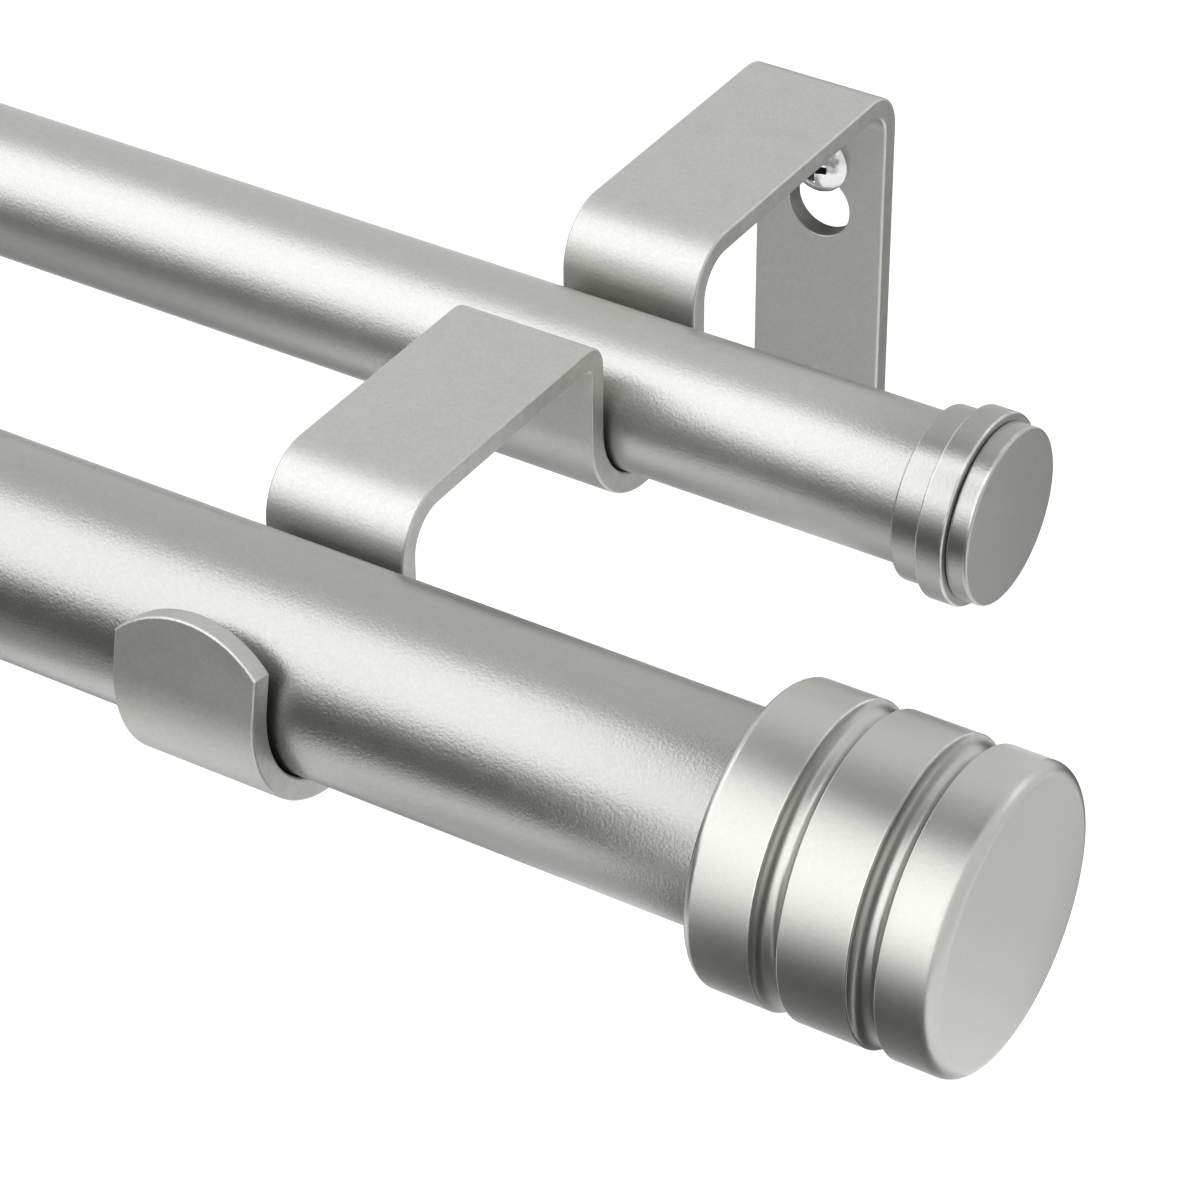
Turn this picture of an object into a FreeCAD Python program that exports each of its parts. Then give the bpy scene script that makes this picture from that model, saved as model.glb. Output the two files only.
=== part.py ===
import FreeCAD, Part
import math
import os

# Double curtain pole: a thick front pole and a thin rear pole, capped at both ends,
# lying in two folded strip brackets that are screwed to a wall.
# Millimetres. X runs along the poles, Y runs into the wall, Z is up.
# The origin is the centre of the back face of the right bracket's wall plate,
# so the wall is the plane Y = 0 and everything in front of it has negative Y.

V = FreeCAD.Vector

# Poles
front_pole_diameter = 25.0
rear_pole_diameter = 19.0
front_pole_length = 711.0
tube_wall = 1.0
tube_end_chamfer = 0.3
# height of the front pole's axis above the middle of the wall plate
front_pole_height = 16.75
# how much lower the rear pole lies than the front one
rear_pole_drop = 0.8

# Brackets
strip_width = 19.0
strip_thickness = 2.8
plate_height = 60.0
front_projection = 128.5
rear_projection = 61.5
cup_clearance = 0.9
plate_bend_radius = 3.4
arm_bend_radius = 4.8
fold_back_radius = 1.0
# the front tab leans back towards the pole and ends in a round top
tab_lean_degrees = 10.0
tab_length = 8.3
tab_arc_radius = 13.1
# stock left above the round top until it is cut
tab_stock = 1.0
strip_edge_radius = 0.35
plate_corner_radius = 2.0

# Keyhole and lower hole of the wall plate
keyhole_entry_diameter = 9.0
keyhole_slot_clearance = 0.5
screw_below_arm_top = 12.95
keyhole_entry_below_screw = 6.9
lower_screw_above_plate_end = 10.0
hole_edge_break = 0.2

# Screws
screw_diameter = 4.0
screw_neck_diameter = 3.2
screw_neck_cone = 0.4
screw_length = 13.0
screw_point_length = 4.0
screw_head_diameter = 8.6
screw_head_height = 2.7
screw_head_rim = 0.7
recess_span = 4.4
recess_floor_span = 1.7
recess_slot_width = 1.05
recess_depth = 1.9

# Front end caps: three wide bands parted by two round grooves
front_cap_diameter = 35.2
front_band_width = 8.3
# the outermost band is measured to the end of its domed face
front_end_band_width = 7.4
groove_width = 3.2
groove_lip_radius = 0.22
front_cap_rear_radius = 1.2
front_cap_edge_radius = 1.9
front_cap_dome = 0.45
front_cap_offset = 64.5
front_tube_insertion = 20.0
front_cap_relief_radius = 10.0
front_cap_face_thickness = 3.5

# Rear end caps: three stepped rings
rear_inner_ring_diameter = 21.8
rear_middle_ring_diameter = 24.0
rear_outer_ring_diameter = 22.0
rear_inner_ring_width = 3.8
rear_middle_ring_width = 3.6
rear_outer_ring_width = 2.8
rear_ring_edge_radius = 0.35
rear_cap_offset = 48.7
rear_tube_insertion = 7.0

# Fit of the caps over the tubes
cap_fit_clearance = 0.1
bore_mouth_chamfer = 0.45

# Derived places
front_radius = front_pole_diameter / 2.0
rear_radius = rear_pole_diameter / 2.0
front_axis_y = -front_projection
rear_axis_y = -rear_projection
front_axis_z = front_pole_height
rear_axis_z = front_pole_height - rear_pole_drop
plate_top_z = plate_height / 2.0
upper_screw_z = plate_top_z - screw_below_arm_top
keyhole_entry_z = upper_screw_z - keyhole_entry_below_screw
lower_screw_z = -plate_height / 2.0 + lower_screw_above_plate_end
front_tube_end_x = front_cap_offset + front_tube_insertion
rear_tube_end_x = rear_cap_offset + rear_tube_insertion
# the left bracket mirrors the right one about the middle of the front pole
middle_x = front_tube_end_x - front_pole_length / 2.0
left_bracket_x = 2.0 * middle_x


def line(a, b):
    return Part.LineSegment(a, b).toShape()


def arc(a, middle, b):
    return Part.Arc(a, middle, b).toShape()


def rotated(vector, angle):
    # turns a vector in the YZ plane, positive from +Y towards +Z
    c = math.cos(angle)
    s = math.sin(angle)
    return V(0.0, vector.y * c - vector.z * s, vector.y * s + vector.z * c)


class StripPath:
    # Walks along a strip in the YZ plane and keeps the outline of both faces.

    def __init__(self, left_point, direction, thickness):
        self.direction = direction
        self.left = left_point
        self.right = left_point - self.left_normal() * thickness
        self.start = (self.left, self.right)
        self.left_edges = []
        self.right_edges = []

    def left_normal(self):
        return V(0.0, -self.direction.z, self.direction.y)

    def run(self, length):
        step = self.direction * length
        self.left_edges.append(line(self.left, self.left + step))
        self.right_edges.append(line(self.right, self.right + step))
        self.left = self.left + step
        self.right = self.right + step

    def turn(self, inner_radius, degrees):
        # positive degrees fold to the left of the walk, negative ones to the right
        angle = math.radians(degrees)
        if degrees > 0:
            centre = self.left + self.left_normal() * inner_radius
        else:
            centre = self.right - self.left_normal() * inner_radius
        from_left = self.left - centre
        from_right = self.right - centre
        new_left = centre + rotated(from_left, angle)
        new_right = centre + rotated(from_right, angle)
        self.left_edges.append(arc(self.left, centre + rotated(from_left, angle / 2.0), new_left))
        self.right_edges.append(arc(self.right, centre + rotated(from_right, angle / 2.0), new_right))
        self.left = new_left
        self.right = new_right
        self.direction = rotated(self.direction, angle)

    def face(self):
        first = line(self.start[0], self.start[1])
        last = line(self.left, self.right)
        edges = [first] + self.right_edges + [last] + self.left_edges
        return Part.Face(Part.Wire(Part.__sortEdges__(edges)))


def folded_strip():
    # wall plate, rear arm, rear cup, fold back, front arm, front cup and front tab
    t = strip_thickness
    front_cup = front_radius + cup_clearance
    rear_cup = rear_radius + cup_clearance
    rear_cup_z = rear_axis_z + cup_clearance
    front_cup_z = front_axis_z + cup_clearance
    arm_under_z = plate_top_z - t
    rear_leg_back_y = rear_axis_y + rear_cup + t
    front_leg_back_y = front_axis_y + front_cup + t
    fold_back_y = rear_axis_y - rear_cup - t
    path = StripPath(V(0.0, -t, -plate_height / 2.0), V(0.0, 0.0, 1.0), t)
    path.run(plate_height - t - plate_bend_radius)
    path.turn(plate_bend_radius, 90)
    path.run(-rear_leg_back_y - arm_bend_radius - t - plate_bend_radius)
    path.turn(arm_bend_radius, 90)
    path.run(arm_under_z - arm_bend_radius - rear_cup_z)
    path.turn(rear_cup, -180)
    path.run(arm_under_z - fold_back_radius - rear_cup_z)
    path.turn(fold_back_radius, 90)
    path.run(fold_back_y - fold_back_radius - front_leg_back_y - arm_bend_radius)
    path.turn(arm_bend_radius, 90)
    path.run(arm_under_z - arm_bend_radius - front_cup_z)
    path.turn(front_cup, -180.0 - tab_lean_degrees)
    path.run(tab_length + tab_stock)
    solid = path.face().extrude(V(strip_width, 0.0, 0.0))
    solid.translate(V(-strip_width / 2.0, 0.0, 0.0))
    return solid


def tab_trim():
    # what is cut away above the round top of the front tab: drawn for an upright tab that
    # starts at the origin and has its front face in Y = 0, then leaned back and moved there
    centre_z = tab_length - tab_arc_radius
    height = tab_arc_radius + tab_stock + 2.0
    block = Part.makeBox(strip_width + 4.0, strip_thickness + 4.0, height)
    block.translate(V(-strip_width / 2.0 - 2.0, -2.0, centre_z))
    disc = Part.makeCylinder(tab_arc_radius, strip_thickness + 6.0, V(0.0, -3.0, centre_z), V(0, 1, 0))
    trim = block.cut(disc)
    trim.rotate(V(0, 0, 0), V(1, 0, 0), -tab_lean_degrees)
    lean = math.radians(tab_lean_degrees)
    cup_outside = front_radius + cup_clearance + strip_thickness
    start_y = front_axis_y - cup_outside * math.cos(lean)
    start_z = front_axis_z + cup_clearance + cup_outside * math.sin(lean)
    trim.translate(V(0.0, start_y, start_z))
    return trim


def plate_corner_trim():
    # what is cut away outside the two rounded lower corners of the wall plate
    r = plate_corner_radius
    z = -plate_height / 2.0
    cuts = []
    for side in (-1.0, 1.0):
        edge_x = side * strip_width / 2.0
        block = Part.makeBox(r + 1.0, strip_thickness + 2.0, r + 1.0)
        corner_x = edge_x - r if side > 0 else edge_x - 1.0
        block.translate(V(corner_x, -strip_thickness - 1.0, z - 1.0))
        centre = V(edge_x - side * r, -strip_thickness - 2.0, z + r)
        disc = Part.makeCylinder(r, strip_thickness + 4.0, centre, V(0, 1, 0))
        cuts.append(block.cut(disc))
    return cuts[0].fuse(cuts[1])


def plate_cylinder(radius, z, extra=1.0):
    # a cylinder through the wall plate
    start = V(0.0, -strip_thickness - extra, z)
    return Part.makeCylinder(radius, strip_thickness + 2.0 * extra, start, V(0, 1, 0))


def keyhole_cut():
    # round entry below, slot as wide as the screw's shank above
    slot_radius = (screw_diameter + keyhole_slot_clearance) / 2.0
    entry = plate_cylinder(keyhole_entry_diameter / 2.0, keyhole_entry_z)
    top = plate_cylinder(slot_radius, upper_screw_z)
    slot = Part.makeBox(2.0 * slot_radius, strip_thickness + 2.0, keyhole_entry_below_screw)
    slot.translate(V(-slot_radius, -strip_thickness - 1.0, keyhole_entry_z))
    return entry.fuse([top, slot]).removeSplitter()


def edges_on_sides(shape):
    # the edges that lie in the two cut sides of the strip
    half = strip_width / 2.0
    found = []
    for edge in shape.Edges:
        middle = edge.valueAt((edge.FirstParameter + edge.LastParameter) / 2.0)
        points = [vertex.Point for vertex in edge.Vertexes] + [middle]
        if all(abs(abs(point.x) - half) < 1e-4 for point in points):
            found.append(edge)
    return found


def edges_of_holes(shape):
    # the rims of the keyhole and of the lower hole in the front face of the plate
    found = []
    for edge in shape.Edges:
        box = edge.BoundBox
        in_front = abs(box.YMin + strip_thickness) < 1e-4 and abs(box.YMax + strip_thickness) < 1e-4
        inside = box.XMin > -strip_width / 2.0 + 1.0 and box.XMax < strip_width / 2.0 - 1.0
        away = box.ZMin > -plate_height / 2.0 + 1.0 and box.ZMax < plate_top_z - strip_thickness - 1.0
        if in_front and inside and away:
            found.append(edge)
    return found


def bracket():
    solid = folded_strip().cut(tab_trim())
    solid = solid.cut(plate_corner_trim())
    solid = solid.makeFillet(strip_edge_radius, edges_on_sides(solid))
    hole_radius = (screw_diameter + keyhole_slot_clearance) / 2.0
    solid = solid.cut(keyhole_cut())
    solid = solid.cut(plate_cylinder(hole_radius, lower_screw_z))
    solid = solid.makeChamfer(hole_edge_break, edges_of_holes(solid))
    return solid


def tube(outer_radius, length):
    # open tube along +X from the origin, outer edges broken at both ends
    body = Part.makeCylinder(outer_radius, length, V(0, 0, 0), V(1, 0, 0))
    hole = Part.makeCylinder(outer_radius - tube_wall, length + 2.0, V(-1, 0, 0), V(1, 0, 0))
    body = body.cut(hole)
    rims = []
    for edge in body.Edges:
        if hasattr(edge.Curve, "Radius") and abs(edge.Curve.Radius - outer_radius) < 1e-6:
            rims.append(edge)
    return body.makeChamfer(tube_end_chamfer, rims)


def turned(edges):
    # solid of revolution about the X axis from a closed outline in the XY plane
    face = Part.Face(Part.Wire(Part.__sortEdges__(edges)))
    return face.revolve(V(0, 0, 0), V(1, 0, 0), 360)


def outline(points):
    edges = []
    for a, b in zip(points, points[1:]):
        edges.append(line(V(a[0], a[1], 0), V(b[0], b[1], 0)))
    return edges


def quarter(centre_x, centre_r, radius, start_degrees, end_degrees):
    # an arc of an outline, angles from +X towards the outside of the cap
    points = []
    for k in range(3):
        angle = math.radians(start_degrees + (end_degrees - start_degrees) * k / 2.0)
        points.append(V(centre_x + radius * math.cos(angle), centre_r + radius * math.sin(angle), 0))
    return arc(points[0], points[1], points[2])


def front_cap():
    # cap along +X from its inner edge at the origin
    radius = front_cap_diameter / 2.0
    length = 2.0 * (front_band_width + groove_width) + front_end_band_width
    groove_radius = groove_width / 2.0
    edge = front_cap_edge_radius
    rear = front_cap_rear_radius
    # the domed end face touches the edge rounding without a corner
    rim = radius - edge
    dome_radius = (rim * rim + front_cap_dome * front_cap_dome) / (2.0 * front_cap_dome) + edge
    dome_centre = length - dome_radius
    edge_centre = dome_centre + math.sqrt((dome_radius - edge) ** 2 - rim * rim)
    meet = math.degrees(math.atan2(rim, edge_centre - dome_centre))
    dome_middle = math.radians(meet / 2.0)
    meet_angle = math.radians(meet)
    meet_point = V(dome_centre + dome_radius * math.cos(meet_angle), dome_radius * math.sin(meet_angle), 0)
    middle_point = V(dome_centre + dome_radius * math.cos(dome_middle), dome_radius * math.sin(dome_middle), 0)
    edges = [quarter(rear, radius - rear, rear, 180, 90)]
    x = rear
    for k in range(2):
        left = (k + 1) * front_band_width + k * groove_width
        centre = left + groove_radius
        edges.append(line(V(x, radius, 0), V(left, radius, 0)))
        edges.append(quarter(centre, radius, groove_radius, 180, 360))
        x = left + groove_width
    edges.append(line(V(x, radius, 0), V(edge_centre, radius, 0)))
    edges.append(quarter(edge_centre, radius - edge, edge, 90, meet))
    edges.append(arc(meet_point, middle_point, V(length, 0, 0)))
    edges.append(line(V(length, 0, 0), V(0, 0, 0)))
    edges.append(line(V(0, 0, 0), V(0, radius - rear, 0)))
    cap = turned(edges)
    cap = cap.makeFillet(groove_lip_radius, rims_at(cap, radius, 2))
    return bored(cap, front_radius, front_tube_insertion, front_cap_relief_radius,
                 length - front_cap_face_thickness)


def rims_at(cap, radius, grooves):
    # the sharp lips of the grooves
    lips = []
    for k in range(grooves):
        left = (k + 1) * front_band_width + k * groove_width
        lips.append(left)
        lips.append(left + groove_width)
    found = []
    for edge in cap.Edges:
        box = edge.BoundBox
        flat = box.XMax - box.XMin < 1e-4
        if flat and abs(box.ZMax - radius) < 1e-3 and any(abs(box.XMin - x) < 1e-3 for x in lips):
            found.append(edge)
    return found


def bored(cap, pole_radius, depth, relief_radius, relief_depth):
    # blind bore that the tube sits in, with a broken mouth and a relief behind it
    bore_radius = pole_radius + cap_fit_clearance
    m = bore_mouth_chamfer
    cap = cap.cut(Part.makeCylinder(bore_radius, depth, V(0, 0, 0), V(1, 0, 0)))
    mouth = Part.makeCone(bore_radius + m, bore_radius, m, V(0, 0, 0), V(1, 0, 0))
    cap = cap.cut(mouth)
    if relief_depth > depth:
        cap = cap.cut(Part.makeCylinder(relief_radius, relief_depth, V(0, 0, 0), V(1, 0, 0)))
    return cap


def ring(x, width, diameter):
    # one ring of the rear cap, both outer edges rounded
    r = diameter / 2.0
    e = rear_ring_edge_radius
    edges = outline([(x, r - e), (x, 0), (x + width, 0), (x + width, r - e)])
    edges.append(quarter(x + width - e, r - e, e, 0, 90))
    edges.append(line(V(x + width - e, r, 0), V(x + e, r, 0)))
    edges.append(quarter(x + e, r - e, e, 90, 180))
    return turned(edges)


def rear_cap():
    # cap along +X from its inner edge at the origin
    first = ring(0.0, rear_inner_ring_width, rear_inner_ring_diameter)
    second = ring(rear_inner_ring_width, rear_middle_ring_width, rear_middle_ring_diameter)
    third = ring(rear_inner_ring_width + rear_middle_ring_width, rear_outer_ring_width, rear_outer_ring_diameter)
    cap = first.fuse([second, third]).removeSplitter()
    return bored(cap, rear_radius, rear_tube_insertion, 0.0, 0.0)


def cross_recess():
    # tapered cross, widest at the top of the head, cut towards +Y
    wide = recess_span / 2.0
    deep = recess_floor_span / 2.0
    half = recess_slot_width / 2.0
    top = -screw_head_height - 0.05
    floor = top + recess_depth
    points = [V(-wide, top, 0), V(wide, top, 0), V(deep, floor, 0), V(-deep, floor, 0), V(-wide, top, 0)]
    wing = Part.Face(Part.makePolygon(points)).extrude(V(0, 0, recess_slot_width))
    wing.translate(V(0, 0, -half))
    other = wing.copy()
    other.rotate(V(0, 0, 0), V(0, 1, 0), 90)
    return wing.fuse(other).removeSplitter()


def screw():
    # pan head with a cross recess in front of Y = 0; behind it a plain neck through
    # the strip, then the shank as thick as its thread stands, and the point
    r = screw_head_diameter / 2.0
    h = screw_head_height
    rise = h - screw_head_rim
    dome_radius = (r * r + rise * rise) / (2.0 * rise)
    half_angle = math.asin(r / dome_radius) / 2.0
    middle = V(dome_radius * math.sin(half_angle), -h + dome_radius * (1.0 - math.cos(half_angle)), 0)
    s = screw_diameter / 2.0
    neck = screw_neck_diameter / 2.0
    neck_end = strip_thickness - screw_neck_cone
    edges = [line(V(0, screw_length, 0), V(0, -h, 0))]
    edges.append(arc(V(0, -h, 0), middle, V(r, -screw_head_rim, 0)))
    edges.append(line(V(r, -screw_head_rim, 0), V(r, 0, 0)))
    edges.append(line(V(r, 0, 0), V(neck, 0, 0)))
    edges.append(line(V(neck, 0, 0), V(neck, neck_end, 0)))
    edges.append(line(V(neck, neck_end, 0), V(s, strip_thickness, 0)))
    edges.append(line(V(s, strip_thickness, 0), V(s, screw_length - screw_point_length, 0)))
    edges.append(line(V(s, screw_length - screw_point_length, 0), V(0, screw_length, 0)))
    face = Part.Face(Part.Wire(Part.__sortEdges__(edges)))
    solid = face.revolve(V(0, 0, 0), V(0, 1, 0), 360)
    return solid.cut(cross_recess())


def moved(shape, x, y, z):
    placed = shape.copy()
    placed.translate(V(x, y, z))
    return placed


def turned_round(shape):
    # the same cap facing the other way along X
    placed = shape.copy()
    placed.rotate(V(0, 0, 0), V(0, 0, 1), 180)
    return placed


def save(shape, name):
    shape.exportStep("parts/" + name + ".step")


def build():
    os.makedirs("parts", exist_ok=True)
    front_start = 2.0 * middle_x - front_tube_end_x
    rear_start = 2.0 * middle_x - rear_tube_end_x
    front_tube = tube(front_radius, front_tube_end_x - front_start)
    rear_tube = tube(rear_radius, rear_tube_end_x - rear_start)
    save(moved(front_tube, front_start, front_axis_y, front_axis_z), "front_pole")
    save(moved(rear_tube, rear_start, rear_axis_y, rear_axis_z), "rear_pole")
    thick = front_cap()
    thin = rear_cap()
    left_front_x = left_bracket_x - front_cap_offset
    left_rear_x = left_bracket_x - rear_cap_offset
    save(moved(thick, front_cap_offset, front_axis_y, front_axis_z), "front_cap_right")
    save(moved(turned_round(thick), left_front_x, front_axis_y, front_axis_z), "front_cap_left")
    save(moved(thin, rear_cap_offset, rear_axis_y, rear_axis_z), "rear_cap_right")
    save(moved(turned_round(thin), left_rear_x, rear_axis_y, rear_axis_z), "rear_cap_left")
    strip = bracket()
    fixing = screw()
    for side, x in (("right", 0.0), ("left", left_bracket_x)):
        save(moved(strip, x, 0, 0), "bracket_" + side)
        save(moved(fixing, x, -strip_thickness, upper_screw_z), "screw_upper_" + side)
        save(moved(fixing, x, -strip_thickness, lower_screw_z), "screw_lower_" + side)


build()
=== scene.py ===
"""Fine surfaces, satin finishes and a studio for a double curtain pole on two folded brackets.

Metres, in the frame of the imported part: +X runs along the poles to their right ends,
+Y into the wall, +Z up. The origin is the centre of the back face of the right
bracket's wall plate.
"""

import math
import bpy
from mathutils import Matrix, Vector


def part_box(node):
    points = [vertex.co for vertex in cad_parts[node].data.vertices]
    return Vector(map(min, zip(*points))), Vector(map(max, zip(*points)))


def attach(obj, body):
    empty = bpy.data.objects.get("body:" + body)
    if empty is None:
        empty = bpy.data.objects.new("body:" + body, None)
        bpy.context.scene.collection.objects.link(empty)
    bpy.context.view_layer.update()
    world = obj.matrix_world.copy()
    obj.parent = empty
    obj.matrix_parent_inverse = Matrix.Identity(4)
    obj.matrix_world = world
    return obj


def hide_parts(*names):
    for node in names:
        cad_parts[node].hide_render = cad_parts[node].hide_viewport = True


bl_info = {
    "name": "Double curtain pole",
    "version": (1, 0, 0),
    "blender": (4, 5, 0),
    "location": "3D View > Sidebar > Curtain pole",
    "description": "End caps, brackets, screws, finishes and a studio for a double curtain pole",
    "category": "Object",
}

from types import SimpleNamespace

import bpy
import numpy as np
from mathutils import Matrix, Vector

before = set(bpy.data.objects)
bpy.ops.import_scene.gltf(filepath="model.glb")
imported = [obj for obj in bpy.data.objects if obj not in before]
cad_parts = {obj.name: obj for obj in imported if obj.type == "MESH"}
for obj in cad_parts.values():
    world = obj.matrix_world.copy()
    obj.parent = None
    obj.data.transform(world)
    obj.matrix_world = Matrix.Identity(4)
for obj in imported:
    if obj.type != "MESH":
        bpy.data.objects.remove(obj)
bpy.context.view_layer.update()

# the two ends of the poles, and the way from the middle to each along X
SIDES = {"right": 1.0, "left": -1.0}
MM = 0.001
# keeps a divisor from being 0
TINY = 1e-9
WHITE = (1.0, 1.0, 1.0, 1.0)


def middle_of(node_name):
    """Centre of a CAD node's box."""
    low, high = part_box(node_name)
    return (low + high) / 2.0


def length_along(node_name, axis):
    """Size of a CAD node's box along one axis, 0 for X, 1 for Y and 2 for Z."""
    low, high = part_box(node_name)
    return high[axis] - low[axis]


# Kinds of property


def a_length(name, description, size, smallest, largest):
    """A length, given in millimetres and kept in metres."""
    return bpy.props.FloatProperty(
        name=name, description=description, default=size * MM, min=smallest * MM,
        max=largest * MM, precision=5, unit="LENGTH",
    )


def a_relief(name, description, size):
    """The height of a fine relief, given in millimetres and kept in metres."""
    return bpy.props.FloatProperty(
        name=name, description=description, default=size * MM, min=0.0, max=0.1 * MM,
        precision=6, unit="LENGTH",
    )


def a_share(name, description, value, largest=1.0):
    """A share from 0 up."""
    return bpy.props.FloatProperty(
        name=name, description=description, default=value, min=0.0, max=largest,
        subtype="FACTOR",
    )


def a_level(name, description, value, smallest, largest):
    """A plain number between two limits."""
    return bpy.props.FloatProperty(
        name=name, description=description, default=value, min=smallest, max=largest,
    )


def a_colour(name, description, red, green, blue):
    """A colour by its three shares."""
    return bpy.props.FloatVectorProperty(
        name=name, description=description, default=(red, green, blue), min=0.0, max=1.0,
        size=3, subtype="COLOR",
    )


# Sizes and looks that a user would change


class CurtainPoleScrews(bpy.types.PropertyGroup):
    """Sizes of the wood screws that hold the two wall plates."""

    thread_pitch: a_length(
        "Thread pitch", "Distance between two turns of the screw thread", 1.8, 0.5, 4.0
    )
    thread_diameter: a_length(
        "Thread diameter", "Diameter of the screw over the crest of its thread", 4.0, 1.5, 6.0
    )
    core_diameter: a_length(
        "Core diameter", "Diameter of the screw at the root of its thread", 2.7, 1.0, 3.6
    )
    neck_diameter: a_length(
        "Neck diameter", "Diameter of the plain neck between the head and the thread", 3.2, 1.0, 4.0
    )
    neck_length: a_length(
        "Neck length", "Length of the plain neck, through the bracket's plate", 2.8, 0.5, 8.0
    )
    point_length: a_length("Point length", "Length of the screw's conical point", 4.0, 1.0, 10.0)
    head_height: a_length("Head height", "Height of the domed head above the plate", 2.7, 1.0, 5.0)
    head_rim: a_length("Head rim", "Height of the straight rim under the dome", 0.7, 0.1, 2.0)
    recess_span: a_length(
        "Recess span", "Width across the cross recess at the surface of the head", 4.4, 1.0, 6.0
    )
    recess_slot: a_length("Recess slot", "Width of each slot of the cross recess", 1.05, 0.3, 2.0)
    recess_depth: a_length(
        "Recess depth", "Depth of the cross recess below the top of the head", 1.9, 0.3, 2.5
    )


class CurtainPoleCaps(bpy.types.PropertyGroup):
    """Sizes of the thick and the thin end caps."""

    band_width: a_length(
        "Band width", "Width of each band of the thick cap, but for the last", 8.3, 1.0, 30.0
    )
    groove_width: a_length(
        "Groove width", "Width of the half round grooves between the bands", 3.2, 0.5, 10.0
    )
    groove_lip: a_length("Groove lip", "Rounding of the grooves' lips", 0.22, 0.02, 1.0)
    thick_edge: a_length("Outer edge", "Rounding of the thick cap's outer edge", 1.9, 0.1, 6.0)
    thick_rear_edge: a_length("Inner edge", "Rounding of the thick cap's inner edge", 1.2, 0.1, 6.0)
    thick_dome: a_length(
        "Face rise", "How far the middle of the thick cap's face stands out", 0.45, 0.05, 3.0
    )
    thick_bore: a_length(
        "Thick bore depth", "Depth of the bore for the front tube", 20.0, 1.0, 28.0
    )
    relief_diameter: a_length(
        "Relief diameter", "Diameter of the hollow beyond the front tube's end", 20.0, 1.0, 24.0
    )
    face_thickness: a_length("Face thickness", "Thickness of the thick cap's face", 3.5, 0.5, 8.0)
    thin_inner_diameter: a_length(
        "Inner ring diameter", "Diameter of the thin cap's inner ring", 21.8, 10.0, 40.0
    )
    thin_middle_diameter: a_length(
        "Middle ring diameter", "Diameter of the thin cap's middle ring", 24.0, 10.0, 40.0
    )
    thin_outer_diameter: a_length(
        "Outer ring diameter", "Diameter of the thin cap's outer ring", 22.0, 10.0, 40.0
    )
    thin_inner_ring: a_length(
        "Inner ring width", "Width of the thin cap's inner ring", 3.8, 1.0, 10.0
    )
    thin_middle_ring: a_length(
        "Middle ring width", "Width of the thin cap's middle ring", 3.6, 1.0, 10.0
    )
    thin_edge: a_length("Ring edge", "Rounding of the thin cap's ring edges", 0.35, 0.05, 1.0)
    thin_bore: a_length("Thin bore depth", "Depth of the bore for the rear tube", 7.0, 1.0, 9.0)
    bore_clearance: a_length(
        "Bore clearance", "Gap between a tube and its cap's bore", 0.1, 0.0, 1.0
    )
    bore_chamfer: a_length(
        "Bore chamfer", "Width of the broken edge at the bore's mouth", 0.45, 0.05, 1.0
    )


class CurtainPoleBrackets(bpy.types.PropertyGroup):
    """Sizes of the two folded strip brackets, which the plain solids don't tell by themselves."""

    thickness: a_length("Thickness", "Thickness of the strip", 2.8, 1.0, 6.0)
    edge_radius: a_length("Edge rounding", "Rounding of the strip's edges", 0.35, 0.05, 1.0)
    plate_corner: a_length(
        "Plate corner", "Radius of the wall plate's two lower corners", 2.0, 0.5, 8.0
    )
    plate_bend: a_length(
        "Plate bend", "Inner radius of the fold between wall plate and rear arm", 3.4, 0.5, 10.0
    )
    arm_bend: a_length(
        "Arm bend", "Inner radius of the folds at the front ends of both arms", 4.8, 0.5, 10.0
    )
    fold_back: a_length(
        "Tight fold", "Inner radius of the fold between rear cup and front arm", 1.0, 0.3, 5.0
    )
    cup_clearance: a_length(
        "Cup clearance", "How much larger than its pole each cup is", 0.9, 0.0, 3.0
    )
    tab_length: a_length(
        "Tab length", "Length of the straight front tab from the end of its cup", 8.3, 1.0, 20.0
    )
    tab_arc: a_length("Tab arc", "Radius of the tab's round top", 13.1, 9.6, 30.0)
    slot_width: a_length(
        "Slot width", "Width of the keyhole's slot and of the lower hole", 4.5, 2.0, 8.0
    )
    entry_diameter: a_length(
        "Entry diameter", "Diameter of the keyhole's round entry", 9.0, 4.0, 14.0
    )
    upper_screw_height: a_length(
        "Upper screw height", "Height of the upper screw above the foot of the plate",
        47.05, 20.0, 55.0,
    )
    entry_drop: a_length(
        "Entry drop", "How far the keyhole's entry lies below the upper screw", 6.9, 3.0, 12.0
    )
    lower_screw_height: a_length(
        "Lower screw height", "Height of the lower screw above the foot of the plate",
        10.0, 5.0, 30.0,
    )
    hole_break: a_length("Hole edge", "Rounding of the holes' front edges", 0.2, 0.02, 1.0)
    tab_lean: bpy.props.FloatProperty(
        name="Tab lean",
        description="How far the front tab leans back over its pole",
        default=math.radians(10.0), min=0.0, max=math.radians(40.0), unit="ROTATION",
    )


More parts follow.
